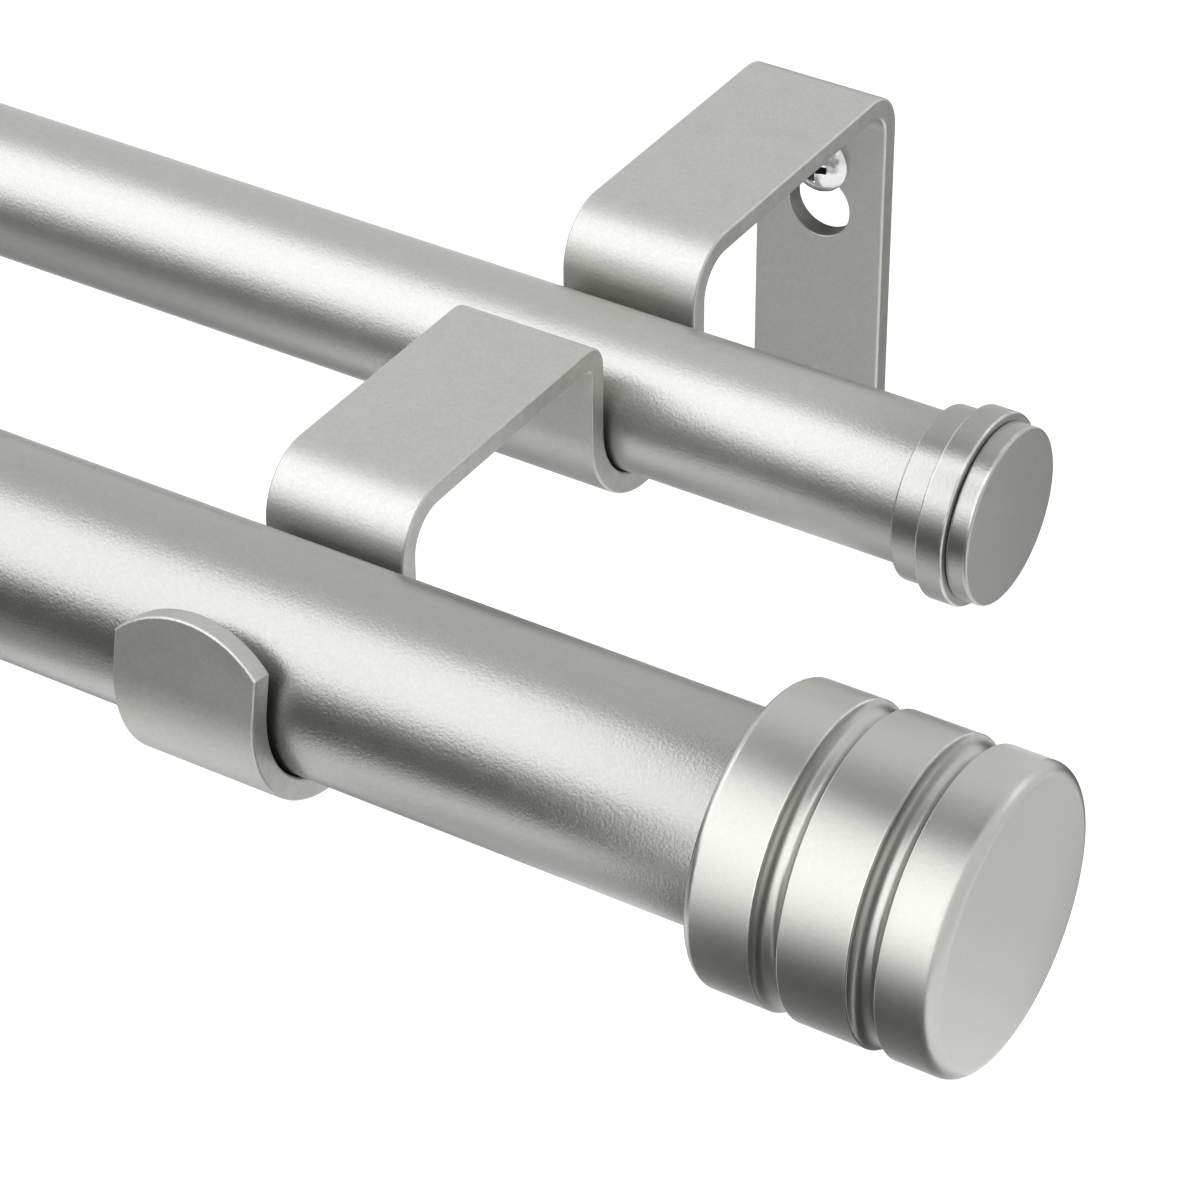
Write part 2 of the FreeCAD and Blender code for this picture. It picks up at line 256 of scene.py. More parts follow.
class CurtainPoleFinish(bpy.types.PropertyGroup):
    """Colours and grain of the satin metal and of the plated screws."""

    # the two tubes take darker copies of the brackets' satin finish: painted shade for the lesser
    # light on the tubes, deepest on the front tube
    front_shaded_colour: a_colour("Front pole", "Colour of the thick front tube", 0.359, 0.364, 0.344)
    rear_shaded_colour: a_colour("Rear pole", "Colour of the thin rear tube", 0.428, 0.435, 0.411)
    cap_colour: a_colour(
        "Thick end caps", "Colour of the front tube's end caps", 0.475, 0.482, 0.455
    )
    # the thin caps take a darker copy of the same satin finish, painted shade
    rear_cap_shaded_colour: a_colour(
        "Thin end caps", "Colour of the rear tube's end caps", 0.405, 0.411, 0.388
    )
    bracket_colour: a_colour("Brackets", "Colour of the two folded brackets", 0.465, 0.472, 0.445)
    # the recess's darker colour is painted shade that falls inside the cross recess
    recess_shade_colour: a_colour(
        "Screw recess", "Colour of the dull metal inside the screws' cross recess",
        0.16, 0.16, 0.155,
    )
    screw_colour: a_colour("Screws", "Colour of the bright plated screws", 0.66, 0.66, 0.67)
    grain_size: a_length(
        "Grain size", "Size of the finest grain of the satin metal", 0.38, 0.05, 2.0
    )
    front_roughness: a_share(
        "Front tube roughness", "How far the thick front tube blurs what it mirrors", 0.31
    )
    rear_roughness: a_share(
        "Rear tube roughness", "How far the thin rear tube blurs what it mirrors", 0.37
    )
    cap_roughness: a_share(
        "Cap roughness", "How far the satin end caps blur what they mirror", 0.31
    )
    bracket_roughness: a_share(
        "Bracket roughness", "How far the satin brackets blur what they mirror", 0.46
    )
    tube_grain: a_share("Tube grain", "How far the grain lightens and darkens the tubes", 0.06, 0.5)
    cap_grain: a_share(
        "Cap grain", "How far the grain lightens and darkens the end caps", 0.04, 0.5
    )
    bracket_grain: a_share(
        "Bracket grain", "How far the grain lightens and darkens the brackets", 0.08, 0.5
    )
    tube_relief: a_relief("Tube relief", "Height of the fine waves in the tubes' lacquer", 0.054)
    cap_relief: a_relief(
        "Thick cap relief", "Height of the fine waves in the lacquer of the front tube's caps",
        0.018,
    )
    thin_cap_relief: a_relief(
        "Thin cap relief", "Height of the fine waves in the lacquer of the rear tube's caps", 0.036
    )
    bracket_relief: a_relief(
        "Bracket relief", "Height of the fine waves in the brackets' lacquer", 0.045
    )
    # painted highlight on the caps' rims: the finish is brighter where light would catch the edges
    rim_highlight_width: a_length(
        "Rim width", "How far the brighter finish reaches on both sides of a cap's rim",
        0.24, 0.02, 2.0,
    )
    rim_highlight_gain: a_level(
        "Rim gain", "How many times brighter the finish is on the caps' rims", 1.75, 1.0, 4.0
    )
    # rubbed wear with a painted highlight along the brackets' edges
    edge_width: a_length(
        "Edge width", "How far the brighter finish reaches from a bracket's edge", 0.4, 0.02, 2.0
    )
    edge_gain: a_level(
        "Edge gain", "How many times brighter the finish is on the brackets' edges", 1.25, 1.0, 4.0
    )
    screw_roughness: a_share(
        "Screw roughness", "How far the plated screws blur what they mirror", 0.16
    )
    screw_grain: a_share(
        "Screw grain", "How far the grain lightens and darkens the screws", 0.05, 0.5
    )
    screw_relief: a_relief(
        "Screw relief", "Height of the fine waves in the screws' plating", 0.0006
    )
    recess_roughness: a_share(
        "Recess roughness", "How far the screws' cross recess blurs what it mirrors", 0.42
    )
    recess_grain: a_share(
        "Recess grain", "How far the grain lightens and darkens the recess", 0.2, 0.5
    )
    recess_relief: a_relief("Recess relief", "Height of the fine waves in the recess", 0.0015)


class CurtainPoleStudio(bpy.types.PropertyGroup):
    """The floor, the lamps and the cards around the pole."""

    floor_drop: a_length("Floor drop", "How far the floor lies below the pole", 260.0, 10.0, 2000.0)
    floor_colour: a_colour("Floor", "Colour of the plain pale floor", 0.86, 0.86, 0.86)
    floor_glow: a_level(
        "Floor glow", "How much the paper adds where it is seen, so that its open parts are white",
        0.45, 0.0, 1.0,
    )
    room_light: a_level(
        "Room light", "Level of the even light that falls on the floor", 0.55, 0.0, 2.0
    )
    key_light: a_level(
        "Key light", "Brightness of the big soft lamp above and in front, over that of the room",
        1.50, 0.0, 10.0,
    )
    cap_light: a_level(
        "Cap light", "Brightness of the shaded card round the right thick cap, as a share",
        1.0, 0.0, 10.0,
    )
    lamp_colour: a_colour(
        "Lamp colour", "Colour of the two soft lamps, a very slightly cool white", 0.972, 0.958, 1.0
    )
    rim_light: a_level(
        "Rim light", "Brightness of the small soft lamp behind the right ends", 0.9, 0.0, 10.0
    )


# Surfaces


def line_run(start, end, normal, count=2):
    """Points on a straight run of a profile, all with one normal: start + (end - start) * u."""
    share = np.linspace(0.0, 1.0, count)[:, None]
    points = np.asarray(start, float) * (1.0 - share) + np.asarray(end, float) * share
    return points, np.tile(np.asarray(normal, float), (count, 1))


def arc_run(centre, radius, start_degrees, end_degrees, count, hollow=False):
    """Points on an arc of a profile: centre + radius * (cos a, sin a), normals along the radius.

    A hollow arc has its normals towards the centre.
    """
    angle = np.radians(np.linspace(start_degrees, end_degrees, count))
    way = np.stack([np.cos(angle), np.sin(angle)], axis=1)
    return np.asarray(centre, float) + radius * way, -way if hollow else way


def revolved(runs, columns):
    """Patches of a surface of revolution about +X, from runs of a profile.

    A profile point (x, r) at the angle a goes to (x, r * cos a, r * sin a), and its normal
    turns with it.
    """
    angle = np.linspace(0.0, 2.0 * math.pi, columns + 1)
    cos, sin = np.cos(angle), np.sin(angle)
    patches = []
    for run in runs:
        spun = []
        for part in run:
            along, out = part[:, :1], part[:, 1:]
            spun.append(np.stack([along + 0.0 * cos, out * cos, out * sin], axis=-1))
        patches.append(tuple(spun))
    return patches


def cell_corners(grid):
    """The four corners of each cell of a grid of vectors, in order round the cell."""
    corners = np.stack([grid[:-1, :-1], grid[:-1, 1:], grid[1:, 1:], grid[1:, :-1]], axis=2)
    return corners.reshape(-1, 4, 3)


def grid_quads(points, normals):
    """Corner points and corner normals of the quads of one patch, wound to face outwards.

    A patch is a grid of points with a normal each. A quad whose own normal disagrees with
    its corners' normals is wound the other way.
    """
    corners, turned = cell_corners(points), cell_corners(normals)
    own = np.cross(corners[:, 2] - corners[:, 0], corners[:, 3] - corners[:, 1])
    wrong = np.einsum("ij,ij->i", own, turned.sum(axis=1)) < 0.0
    corners[wrong] = corners[wrong, ::-1]
    turned[wrong] = turned[wrong, ::-1]
    return corners, turned


def linked_object(name, data):
    """A new object in the scene."""
    made = bpy.data.objects.new(name, data)
    bpy.context.scene.collection.objects.link(made)
    return made


def smooth_mesh(name, vertices, faces):
    """A mesh from points and faces, shaded smooth."""
    mesh = bpy.data.meshes.new(name)
    mesh.from_pydata(vertices.tolist(), [], faces)
    mesh.polygons.foreach_set("use_smooth", np.ones(len(mesh.polygons), bool))
    return mesh


# corners that are the same when rounded to this step become one vertex
WELD = 0.0001 * MM


def welded_piece(name, patches, place):
    """One closed mesh object at the origin from patches, with the patches' own normals.

    A quad with two equal corners, at a pole, becomes a triangle, and one with fewer
    different corners is dropped.
    """
    pairs = [grid_quads(points, normals) for points, normals in patches]
    corners = np.concatenate([pair[0] for pair in pairs])
    normals = np.concatenate([pair[1] for pair in pairs])
    key = np.round(corners.reshape(-1, 3) / WELD).astype(np.int64)
    first, index = np.unique(key, axis=0, return_index=True, return_inverse=True)[1:]
    vertices = corners.reshape(-1, 3)[first] + np.asarray(place, float)
    index = index.reshape(-1, 4)
    repeated = index == np.roll(index, -1, axis=1)
    count = repeated.sum(axis=1)
    whole, pinched = count == 0, count == 1
    keep = np.nonzero(~repeated[pinched])[1].reshape(-1, 3)
    row = np.arange(len(keep))[:, None]
    triangles = index[pinched][row, keep]
    mesh = smooth_mesh(name, vertices, index[whole].tolist() + triangles.tolist())
    loop_normals = np.concatenate([
        normals[whole].reshape(-1, 3), normals[pinched][row, keep].reshape(-1, 3),
    ])
    size = np.linalg.norm(loop_normals, axis=1, keepdims=True)
    mesh.normals_split_custom_set((loop_normals / np.maximum(size, TINY)).tolist())
    return linked_object(name, mesh)


# End caps

# points on the arcs of the caps' profiles, and copies of a profile round a cap
DOME_POINTS, GROOVE_POINTS, LIP_POINTS = 25, 25, 6
OUTER_EDGE_POINTS, INNER_EDGE_POINTS, RING_EDGE_POINTS = 12, 9, 8
CAP_COLUMNS = 160


def dome_run(rim, rise, end_x, edge):
    """The domed end face of a cap, from its middle to its rounded edge, and the edge's centre.

    The dome is part of a sphere that touches the edge's rounding without a corner: its radius
    is (rim^2 + rise^2) / (2 * rise) + edge.
    """
    sphere = (rim * rim + rise * rise) / (2.0 * rise) + edge
    centre_x = end_x - sphere
    edge_x = centre_x + math.sqrt((sphere - edge) ** 2 - rim * rim)
    meet = math.degrees(math.atan2(rim, edge_x - centre_x))
    return arc_run((centre_x, 0.0), sphere, 0.0, meet, DOME_POINTS), edge_x, meet


def bore_runs(bore, chamfer, depth, floor_radius):
    """Profile runs of a bore from its broken mouth at x = 0 to its floor."""
    slant = math.sqrt(0.5)
    return [
        line_run((0.0, bore + chamfer), (chamfer, bore), (-slant, -slant)),
        line_run((chamfer, bore), (depth, bore), (0.0, -1.0)),
        line_run((depth, bore), (depth, floor_radius), (-1.0, 0.0)),
    ]


def thick_cap_runs(sizes, radius, length, bore):
    """Profile runs of the thick cap: three bands, two half round grooves with softened lips,
    a domed face and the bore that the tube sits in. The inner edge is at x = 0."""
    groove, lip = sizes.groove_width / 2.0, sizes.groove_lip
    # the lip's rounding touches the band's line and the groove's circle
    lip_reach = math.sqrt((groove + lip) ** 2 - lip ** 2)
    lip_angle = math.degrees(math.asin(lip / (groove + lip)))
    edge, rear = sizes.thick_edge, sizes.thick_rear_edge
    dome, edge_x, meet = dome_run(radius - edge, sizes.thick_dome, length, edge)
    runs = [dome, arc_run((edge_x, radius - edge), edge, meet, 90.0, OUTER_EDGE_POINTS)]
    right = edge_x
    for k in (1, 0):
        centre = (k + 1) * sizes.band_width + k * sizes.groove_width + groove
        runs += [
            line_run((right, radius), (centre + lip_reach, radius), (0.0, 1.0)),
            arc_run((centre + lip_reach, radius - lip), lip, 90.0, 180.0 - lip_angle, LIP_POINTS),
            arc_run((centre, radius), groove, -lip_angle, lip_angle - 180.0, GROOVE_POINTS,
                    hollow=True),
            arc_run((centre - lip_reach, radius - lip), lip, lip_angle, 90.0, LIP_POINTS),
        ]
        right = centre - lip_reach
    relief, floor = sizes.relief_diameter / 2.0, length - sizes.face_thickness
    return runs + [
        line_run((right, radius), (rear, radius), (0.0, 1.0)),
        arc_run((rear, radius - rear), rear, 90.0, 180.0, INNER_EDGE_POINTS),
        line_run((0.0, radius - rear), (0.0, bore + sizes.bore_chamfer), (-1.0, 0.0),
                 count=3),
        *bore_runs(bore, sizes.bore_chamfer, sizes.thick_bore, relief),
        line_run((sizes.thick_bore, relief), (floor, relief), (0.0, -1.0)),
        line_run((floor, relief), (floor, 0.0), (-1.0, 0.0)),
    ]


def thin_cap_runs(sizes, length, bore):
    """Profile runs of the thin cap: three stepped rings with rounded edges, a flat face and
    the bore that the tube sits in. The inner edge is at x = 0."""
    edge = sizes.thin_edge
    first = sizes.thin_inner_ring
    second = first + sizes.thin_middle_ring
    outer, middle, inner = (diameter / 2.0 for diameter in (
        sizes.thin_outer_diameter, sizes.thin_middle_diameter, sizes.thin_inner_diameter,
    ))
    # each ring's radius, its two ends and the radius at which the step beside it ends
    rings = (
        (outer, second, length, middle - edge),
        (middle, first, second, inner - edge),
        (inner, 0.0, first, bore + sizes.bore_chamfer),
    )
    runs = [line_run((length, 0.0), (length, outer - edge), (1.0, 0.0), count=4)]
    for ring, start, end, step in rings:
        way = 1.0 if step > ring - edge else -1.0
        runs += [
            arc_run((end - edge, ring - edge), edge, 0.0, 90.0, RING_EDGE_POINTS),
            line_run((end - edge, ring), (start + edge, ring), (0.0, 1.0)),
            arc_run((start + edge, ring - edge), edge, 90.0, 180.0, RING_EDGE_POINTS),
            line_run((start, ring - edge), (start, step), (way, 0.0)),
        ]
    return runs + bore_runs(bore, sizes.bore_chamfer, sizes.thin_bore, 0.0)


# Folded brackets

# plain metal between a hole and the edge of the part of the plate that is laid round it
ZONE_MARGIN = 2.7 * MM
# rows of the strip in such a part, and in the plain parts between them
ZONE_ROWS, PLAIN_ROWS = 25, 5
# places across the strip, as shares of its half width
ACROSS = np.linspace(-1.0, 1.0, 21)
# stations along an arm, a leg, the leg before the tight fold and the tab's straight sides
ARM_ROWS, LEG_ROWS, FOLD_LEG_ROWS, TAB_SIDE_ROWS = 9, 3, 4, 4
# degrees from row to row round a bend and round a cup
BEND_STEP, CUP_STEP = 4.0, 3.0
# rows of the plate's round corners and of the tab's arc, and how far round that arc the
# tab's last row lies, just short of the top
CORNER_ROWS, TAB_ROWS, TAB_TOP = 9, 22, math.radians(88.5)
# points of a quarter round over the strip's edge, over a hole's lip and of the outline's
# turn at the tab's shoulder
EDGE_POINTS, HOLE_LIP_POINTS, SHOULDER_POINTS = 6, 5, 6
# rings from a hole to the edge of its part of the plate, which stand closer at the hole
HOLE_RINGS, RING_CROWDING = 7, 1.5
# where every ray to the keyhole's outline stays inside the hole, as a share of the entry's
# radius over its centre
KEYHOLE_MIDDLE = 0.855


class StripWalk:
    """The strip's side line in the YZ plane, walked from the foot of the wall plate.

    A straight run goes on from a point p as p + direction * s. A fold about a centre c turns
    every point by an angle a: c + rotation(a) * (p - c). Each station keeps the point on the
    strip's left face, the way it heads and the left face's normal.
    """

    def __init__(self, point, direction, thickness):
        self.point = np.array(point, float)
        self.direction = np.array(direction, float)
        self.thickness = thickness
        self.points, self.directions = [], []

    def run(self, stations):
        """A straight run with its stations at distances from the run's start."""
        stations = np.asarray(stations, float)
        self.points.append(self.point + self.direction * stations[:, None])
        self.directions.append(np.tile(self.direction, (len(stations), 1)))
        self.point = self.point + self.direction * stations[-1]

    def straight(self, length, count):
        """A straight run of a length, with its stations at even distances. Its start,
        which the run before it ends with, is one of the count."""
        self.run(np.linspace(0, length, count)[1:])

    def fold(self, inner_radius, degrees, step_degrees=BEND_STEP):
        """A fold with an inner radius, to the left of the walk for positive degrees."""
        reach = inner_radius if degrees > 0 else -(inner_radius + self.thickness)
        left = np.array([-self.direction[1], self.direction[0]])
        centre = self.point + left * reach
        count = int(math.ceil(abs(degrees) / step_degrees))
        angle = np.radians(degrees) * np.arange(1, count + 1) / count
        turn = np.stack([np.cos(angle), -np.sin(angle), np.sin(angle), np.cos(angle)], axis=1)
        turn = turn.reshape(-1, 2, 2)
        self.points.append(centre + turn @ (self.point - centre))
        self.directions.append(turn @ self.direction)
        self.point = self.points[-1][-1]
        self.direction = self.directions[-1][-1]

    def stations(self):
        """Points, directions and left normals of all stations."""
        directions = np.concatenate(self.directions)
        lefts = np.stack([-directions[:, 1], directions[:, 0]], axis=1)
        return np.concatenate(self.points), directions, lefts


def plate_stations(sizes, foot, end):
    """Heights of the plate's rows, and the first and last row of the part round each hole."""
    slot = sizes.slot_width / 2.0 + ZONE_MARGIN
    keyhole_foot = sizes.upper_screw_height - sizes.entry_drop - sizes.entry_diameter / 2.0
    marks, zones, at = [foot], [], foot[-1]
    for low, high in (
        (sizes.lower_screw_height - slot, sizes.lower_screw_height + slot),
        (keyhole_foot - ZONE_MARGIN, sizes.upper_screw_height + slot),
    ):
        marks.append(np.linspace(at, low, PLAIN_ROWS)[1:])
        first_row = sum(len(mark) for mark in marks) - 1
        zones.append((first_row, first_row + ZONE_ROWS - 1))
        marks.append(np.linspace(low, high, ZONE_ROWS)[1:])
        at = high
    marks.append(np.linspace(at, end, PLAIN_ROWS)[1:])
    return np.concatenate(marks), zones


def folded_strip(sizes, low, high, front_cup, rear_cup):
    """Stations of the folded strip with its half width at each, all inside the edge rounding.

    The foot of the plate has quarter round corners: half width = half - r + r * sin a at the
    height r * (1 - cos a). The tab ends in an arc of radius R: half width = R * cos a at the
    height R * sin a above the arc's centre. Between them the strip is parallel.
    """
    thick, edge = sizes.thickness, sizes.edge_radius
    half = (high.x - low.x) / 2.0 - edge
    front_y, front_z, front_r = front_cup
    rear_y, rear_z, rear_r = rear_cup
    under, bend = high.z - thick, sizes.arm_bend
    corner = sizes.plate_corner - edge
    foot_angle = np.radians(np.linspace(0.0, 90.0, CORNER_ROWS))
    heights, zones = plate_stations(
        sizes, edge + corner * (1.0 - np.cos(foot_angle)), high.z - low.z - thick - sizes.plate_bend
    )
    rear_leg = -(rear_y + rear_r + thick)
    front_leg = -(front_y + front_r + thick)
    fold_y = -(rear_y - rear_r - thick)
    walk = StripWalk((-thick, low.z), (0.0, 1.0), thick)
    walk.run(heights)
    walk.fold(sizes.plate_bend, 90.0)
    walk.straight(rear_leg - bend - thick - sizes.plate_bend, ARM_ROWS)
    walk.fold(bend, 90.0)
    walk.straight(under - bend - rear_z, LEG_ROWS)
    walk.fold(rear_r, -180.0, CUP_STEP)
    walk.straight(under - sizes.fold_back - rear_z, FOLD_LEG_ROWS)
    walk.fold(sizes.fold_back, 90.0)
    walk.straight(front_leg - fold_y - sizes.fold_back - bend, ARM_ROWS)
    walk.fold(bend, 90.0)
    walk.straight(under - bend - front_z, LEG_ROWS)
    walk.fold(front_r, -180.0 - math.degrees(sizes.tab_lean), CUP_STEP)
    arc = sizes.tab_arc - edge
    tab_angle = np.linspace(math.acos(half / arc), TAB_TOP, TAB_ROWS)
    arc_heights = sizes.tab_length - sizes.tab_arc + arc * np.sin(tab_angle)
    tab_side = np.linspace(0.0, arc_heights[0], TAB_SIDE_ROWS)[1:-1]
    walk.run(np.concatenate([tab_side, arc_heights]))
    line = walk.stations()
    halves = np.full(len(line[0]), half)
    halves[:len(foot_angle)] = half - corner + corner * np.sin(foot_angle)
    halves[-len(tab_angle):] = arc * np.cos(tab_angle)
    return SimpleNamespace(
        line=line, halves=halves, foot_angle=foot_angle, tab_angle=tab_angle, zones=zones
    )


def strip_point(x, station, out_x, out_s, depth):
    """Place of the strip's own coordinates: across, along and into it from its left face."""
    points, directions, lefts = station
    flat = points + directions * out_s[..., None] - lefts * depth[..., None]
    return np.concatenate([(x + out_x)[..., None], flat], axis=-1)


def strip_normal(station, out_x, out_s, left_share):
    """Normal from its shares across, along and out of the strip's left face."""
    directions, lefts = station[1], station[2]
    flat = directions * out_s[..., None] + lefts * left_share[..., None]
    return np.concatenate([out_x[..., None] * np.ones_like(flat[..., :1]), flat], axis=-1)


def strip_faces(sizes, strip):
    """Patches of the strip's two faces, but for the parts of the plate round the holes.

    A point lies at its share of the half width across the strip, on its row's station.
    """
    x = strip.halves[:, None] * ACROSS[None, :]
    station = tuple(np.repeat(part[:, None], len(ACROSS), axis=1) for part in strip.line)
    zero = np.zeros_like(x)
    cuts = [0] + [row for zone in strip.zones for row in zone] + [len(x) - 1]
    patches = []
    for depth, share in ((0.0, 1.0), (sizes.thickness, -1.0)):
        place = strip_point(x, station, zero, zero, zero + depth)
        normal = strip_normal(station, zero, zero, zero + share)
        for start, end in zip(cuts[0::2], cuts[1::2]):
            patches.append((place[start:end + 1], normal[start:end + 1]))
    return patches


def strip_outline(sizes, strip):
    """Row, place across and outward way of the points once round the strip's outline.

    It goes over the foot, the right side, the tab and the left side, inside the edge rounding.
    """
    halves, foot, tab = strip.halves, strip.foot_angle, strip.tab_angle
    rows = len(halves)
    side_way = np.tile([1.0, 0.0], (rows, 1))
    side_way[:len(foot)] = np.stack([np.sin(foot), -np.cos(foot)], axis=1)
    side_way[-len(tab):] = np.stack([np.cos(tab), np.sin(tab)], axis=1)
    # at the tab's shoulder the rounding turns about one point
    shoulder = rows - len(tab)
    turn = np.linspace(0.0, tab[0], SHOULDER_POINTS)[:-1]
    right_rows = np.concatenate([
        np.arange(1, shoulder), np.full(len(turn), shoulder), np.arange(shoulder, rows),
    ])
    right_way = np.concatenate([
        side_way[1:shoulder], np.stack([np.cos(turn), np.sin(turn)], axis=1), side_way[shoulder:],
    ])
    foot_x = halves[0] * ACROSS
    foot_way = np.tile([0.0, -1.0], (len(ACROSS), 1))
    top_x = halves[-1] * ACROSS[-2:0:-1]
    top_way = np.stack([top_x / (sizes.tab_arc - sizes.edge_radius), np.ones(len(top_x))], axis=1)
    row = np.concatenate([
        np.zeros(len(foot_x), int), right_rows, np.full(len(top_x), rows - 1),
        right_rows[::-1], [0],
    ])
    across = np.concatenate([
        foot_x, halves[right_rows], top_x, -halves[right_rows[::-1]], foot_x[:1],
    ])
    way = np.concatenate([
        foot_way, right_way, top_way, right_way[::-1] * [-1.0, 1.0], foot_way[:1],
    ])
    return row, across, way


def strip_rim(sizes, strip):
    """The patch round the strip's rim, of two quarter rounds and a straight side.

    At the angle b of a quarter round a point lies edge * sin b outwards of the outline, and
    edge * (1 - cos b) deep from its face.
    """
    thick, edge = sizes.thickness, sizes.edge_radius
    row, across, way = strip_outline(sizes, strip)
    bend = np.radians(np.linspace(0.0, 90.0, EDGE_POINTS))
    sin, cos = np.sin(bend), np.cos(bend)
    out = np.concatenate([edge * sin, edge * sin[::-1]])
    depth = np.concatenate([edge * (1.0 - cos), thick - edge * (1.0 - cos)[::-1]])
    side_share = np.concatenate([sin, sin[::-1]])[:, None]
    face_share = np.concatenate([cos, -cos[::-1]])[:, None]
    shape = (len(out), len(row))
    station = tuple(np.broadcast_to(part[row], shape + (2,)) for part in strip.line)
    points = strip_point(
        np.broadcast_to(across, shape), station, out[:, None] * way[:, 0],
        out[:, None] * way[:, 1], np.broadcast_to(depth[:, None], shape),
    )
    normals = strip_normal(
        station, side_share * way[:, 0], side_share * way[:, 1],
        np.broadcast_to(face_share, shape),
    )
    return points, normals


def keyhole_reach(angle, middle, radii, heights):
    """Distance from a point in the slot to the keyhole's outline in each direction.

    The outline joins the entry's circle, the slot's two straight sides and the circle at the
    slot's top. The distance is the longest of the three shapes' distances along the ray.
    """
    cos, sin = np.cos(angle), np.sin(angle)
    reach = np.zeros_like(angle)
    for radius, height in zip(radii, heights):
        offset = height - middle
        inside = radius ** 2 - (offset * cos) ** 2
        hit = offset * sin + np.sqrt(np.maximum(inside, 0.0))
        reach = np.maximum(reach, np.where(inside > 0.0, hit, 0.0))
    side = radii[1] / np.maximum(np.abs(cos), TINY)
    top = (heights[1] - middle) / np.maximum(sin, TINY)
    bottom = (heights[0] - middle) / np.minimum(sin, -TINY)
    return np.maximum(reach, np.minimum(side, np.where(sin > 0.0, top, bottom)))


def hole_patches(side_rows, half, on_plate, middle, reach_of, lip_width, thick):
    """Patches of one part of the plate with a hole in it, on both faces and through the plate.

    The part's rim is walked once round, and each of its points looks towards the middle of the
    hole. Along that ray a point goes from the rim to the hole's outline, and the hole's front
    lip is a quarter round between the face and the hole's wall.
    """
    columns, sides = half * ACROSS, len(side_rows)
    across = np.concatenate([
        columns, np.full(sides - 2, half), columns[::-1], np.full(sides - 1, -half),
    ])
    up = np.concatenate([
        np.full(len(columns), side_rows[0]), side_rows[1:-1],
        np.full(len(columns), side_rows[-1]), side_rows[-2::-1],
    ])
    angle = np.arctan2(up - middle, across)
    away = np.hypot(across, up - middle)
    way = np.stack([np.cos(angle), np.sin(angle)], axis=-1)

    def ring(distance, depth, lean, face_share):
        x, s = way[:, 0] * distance, middle + way[:, 1] * distance
        return on_plate(x, s, depth, lean, face_share)

    wall, lip = reach_of(angle, 0.0), reach_of(angle, lip_width)
    outline = (way * wall[:, None])[:-1]
    run = np.roll(outline, -1, axis=0) - np.roll(outline, 1, axis=0)
    inward = np.stack([-run[:, 1], run[:, 0]], axis=-1)
    inward /= np.linalg.norm(inward, axis=1, keepdims=True)
    inward = np.concatenate([inward, inward[:1]])
    none = np.zeros_like(inward)
    shares = np.linspace(0.0, 1.0, HOLE_RINGS)[::-1] ** RING_CROWDING
    turn = np.radians(np.linspace(0.0, 90.0, HOLE_LIP_POINTS))
    bands = (
        [ring(lip + (away - lip) * u, 0.0, none, 1.0) for u in shares],
        [ring(wall + (away - wall) * u, thick, none, -1.0) for u in shares],
        [ring(lip + (wall - lip) * math.sin(a), lip_width * (1.0 - math.cos(a)),
              inward * math.sin(a), math.cos(a)) for a in turn],
        [ring(wall, depth, inward, 0.0) for depth in (lip_width, thick)],
    )
    return [tuple(np.stack(part) for part in zip(*band)) for band in bands]


def plate_holes(sizes, strip, foot_z):
    """Patches round the plate's lower hole and its keyhole."""
    thick = sizes.thickness
    points, directions, lefts = strip.line
    foot, along, out = np.array([-thick, foot_z]), directions[0], lefts[0]

    def on_plate(x, s, depth, lean, face_share):
        flat = foot + along * s[:, None] - out * depth
        place = np.concatenate([x[:, None], flat], axis=1)
        tilt = along * lean[:, 1:] + out * face_share
        return place, np.concatenate([lean[:, :1], tilt], axis=1)

    heights = points[:, 1] - foot_z
    slot, entry = sizes.slot_width / 2.0, sizes.entry_diameter / 2.0
    entry_s = sizes.upper_screw_height - sizes.entry_drop
    keyhole_middle = entry_s + KEYHOLE_MIDDLE * entry

    def lower_reach(angle, extra):
        return np.full_like(angle, slot + extra)

    def upper_reach(angle, extra):
        return keyhole_reach(
            angle, keyhole_middle, (entry + extra, slot + extra),
            (entry_s, sizes.upper_screw_height),
        )

    patches = []
    for (first, last), middle, reach in zip(
        strip.zones, (sizes.lower_screw_height, keyhole_middle), (lower_reach, upper_reach)
    ):
        patches += hole_patches(
            heights[first:last + 1], strip.halves[first], on_plate, middle, reach,
            sizes.hole_break, thick,
        )
    return patches


# Wood screws

# bevel of the head's edges, and its edges sharper than this angle stay sharp
HEAD_BEVEL, SHARP_ANGLE = 0.1 * MM, math.radians(32.0)
# radius of the cross recess's deeper middle, and how much deeper it goes there
RECESS_MIDDLE, RECESS_DIP = 0.85 * MM, 0.25 * MM
# sines of the widest angles of the recess's walls and floor, near its middle
WALL_SINE, FLOOR_SINE = 0.699, 0.62
# width of the recess's floor as a share of its opening, and how far its lips are sunk
RECESS_TAPER, RECESS_LIP = 0.86, 0.05 * MM
# faces that lie deeper than this in the head take the recess's darker colour, painted shade
RECESS_SHADE_DEPTH = 0.01 * MM
# share of the neck's length before it narrows to the core
NECK_STRAIGHT = 0.82
# plain metal from the neck to the full core, and before and after the thread
CORE_START, THREAD_START, THREAD_END = 0.35 * MM, 0.45 * MM, 0.35 * MM
# half widths of the thread's foot and crest, and how far the foot is sunk in the core
THREAD_FOOT, THREAD_CREST, THREAD_SUNK = 0.40 * MM, 0.06 * MM, 0.08 * MM
# turns over which the thread grows at its start and fades at its end, and rows to a turn
THREAD_GROWS, THREAD_FADES, THREAD_STEPS = 0.6, 0.4, 40


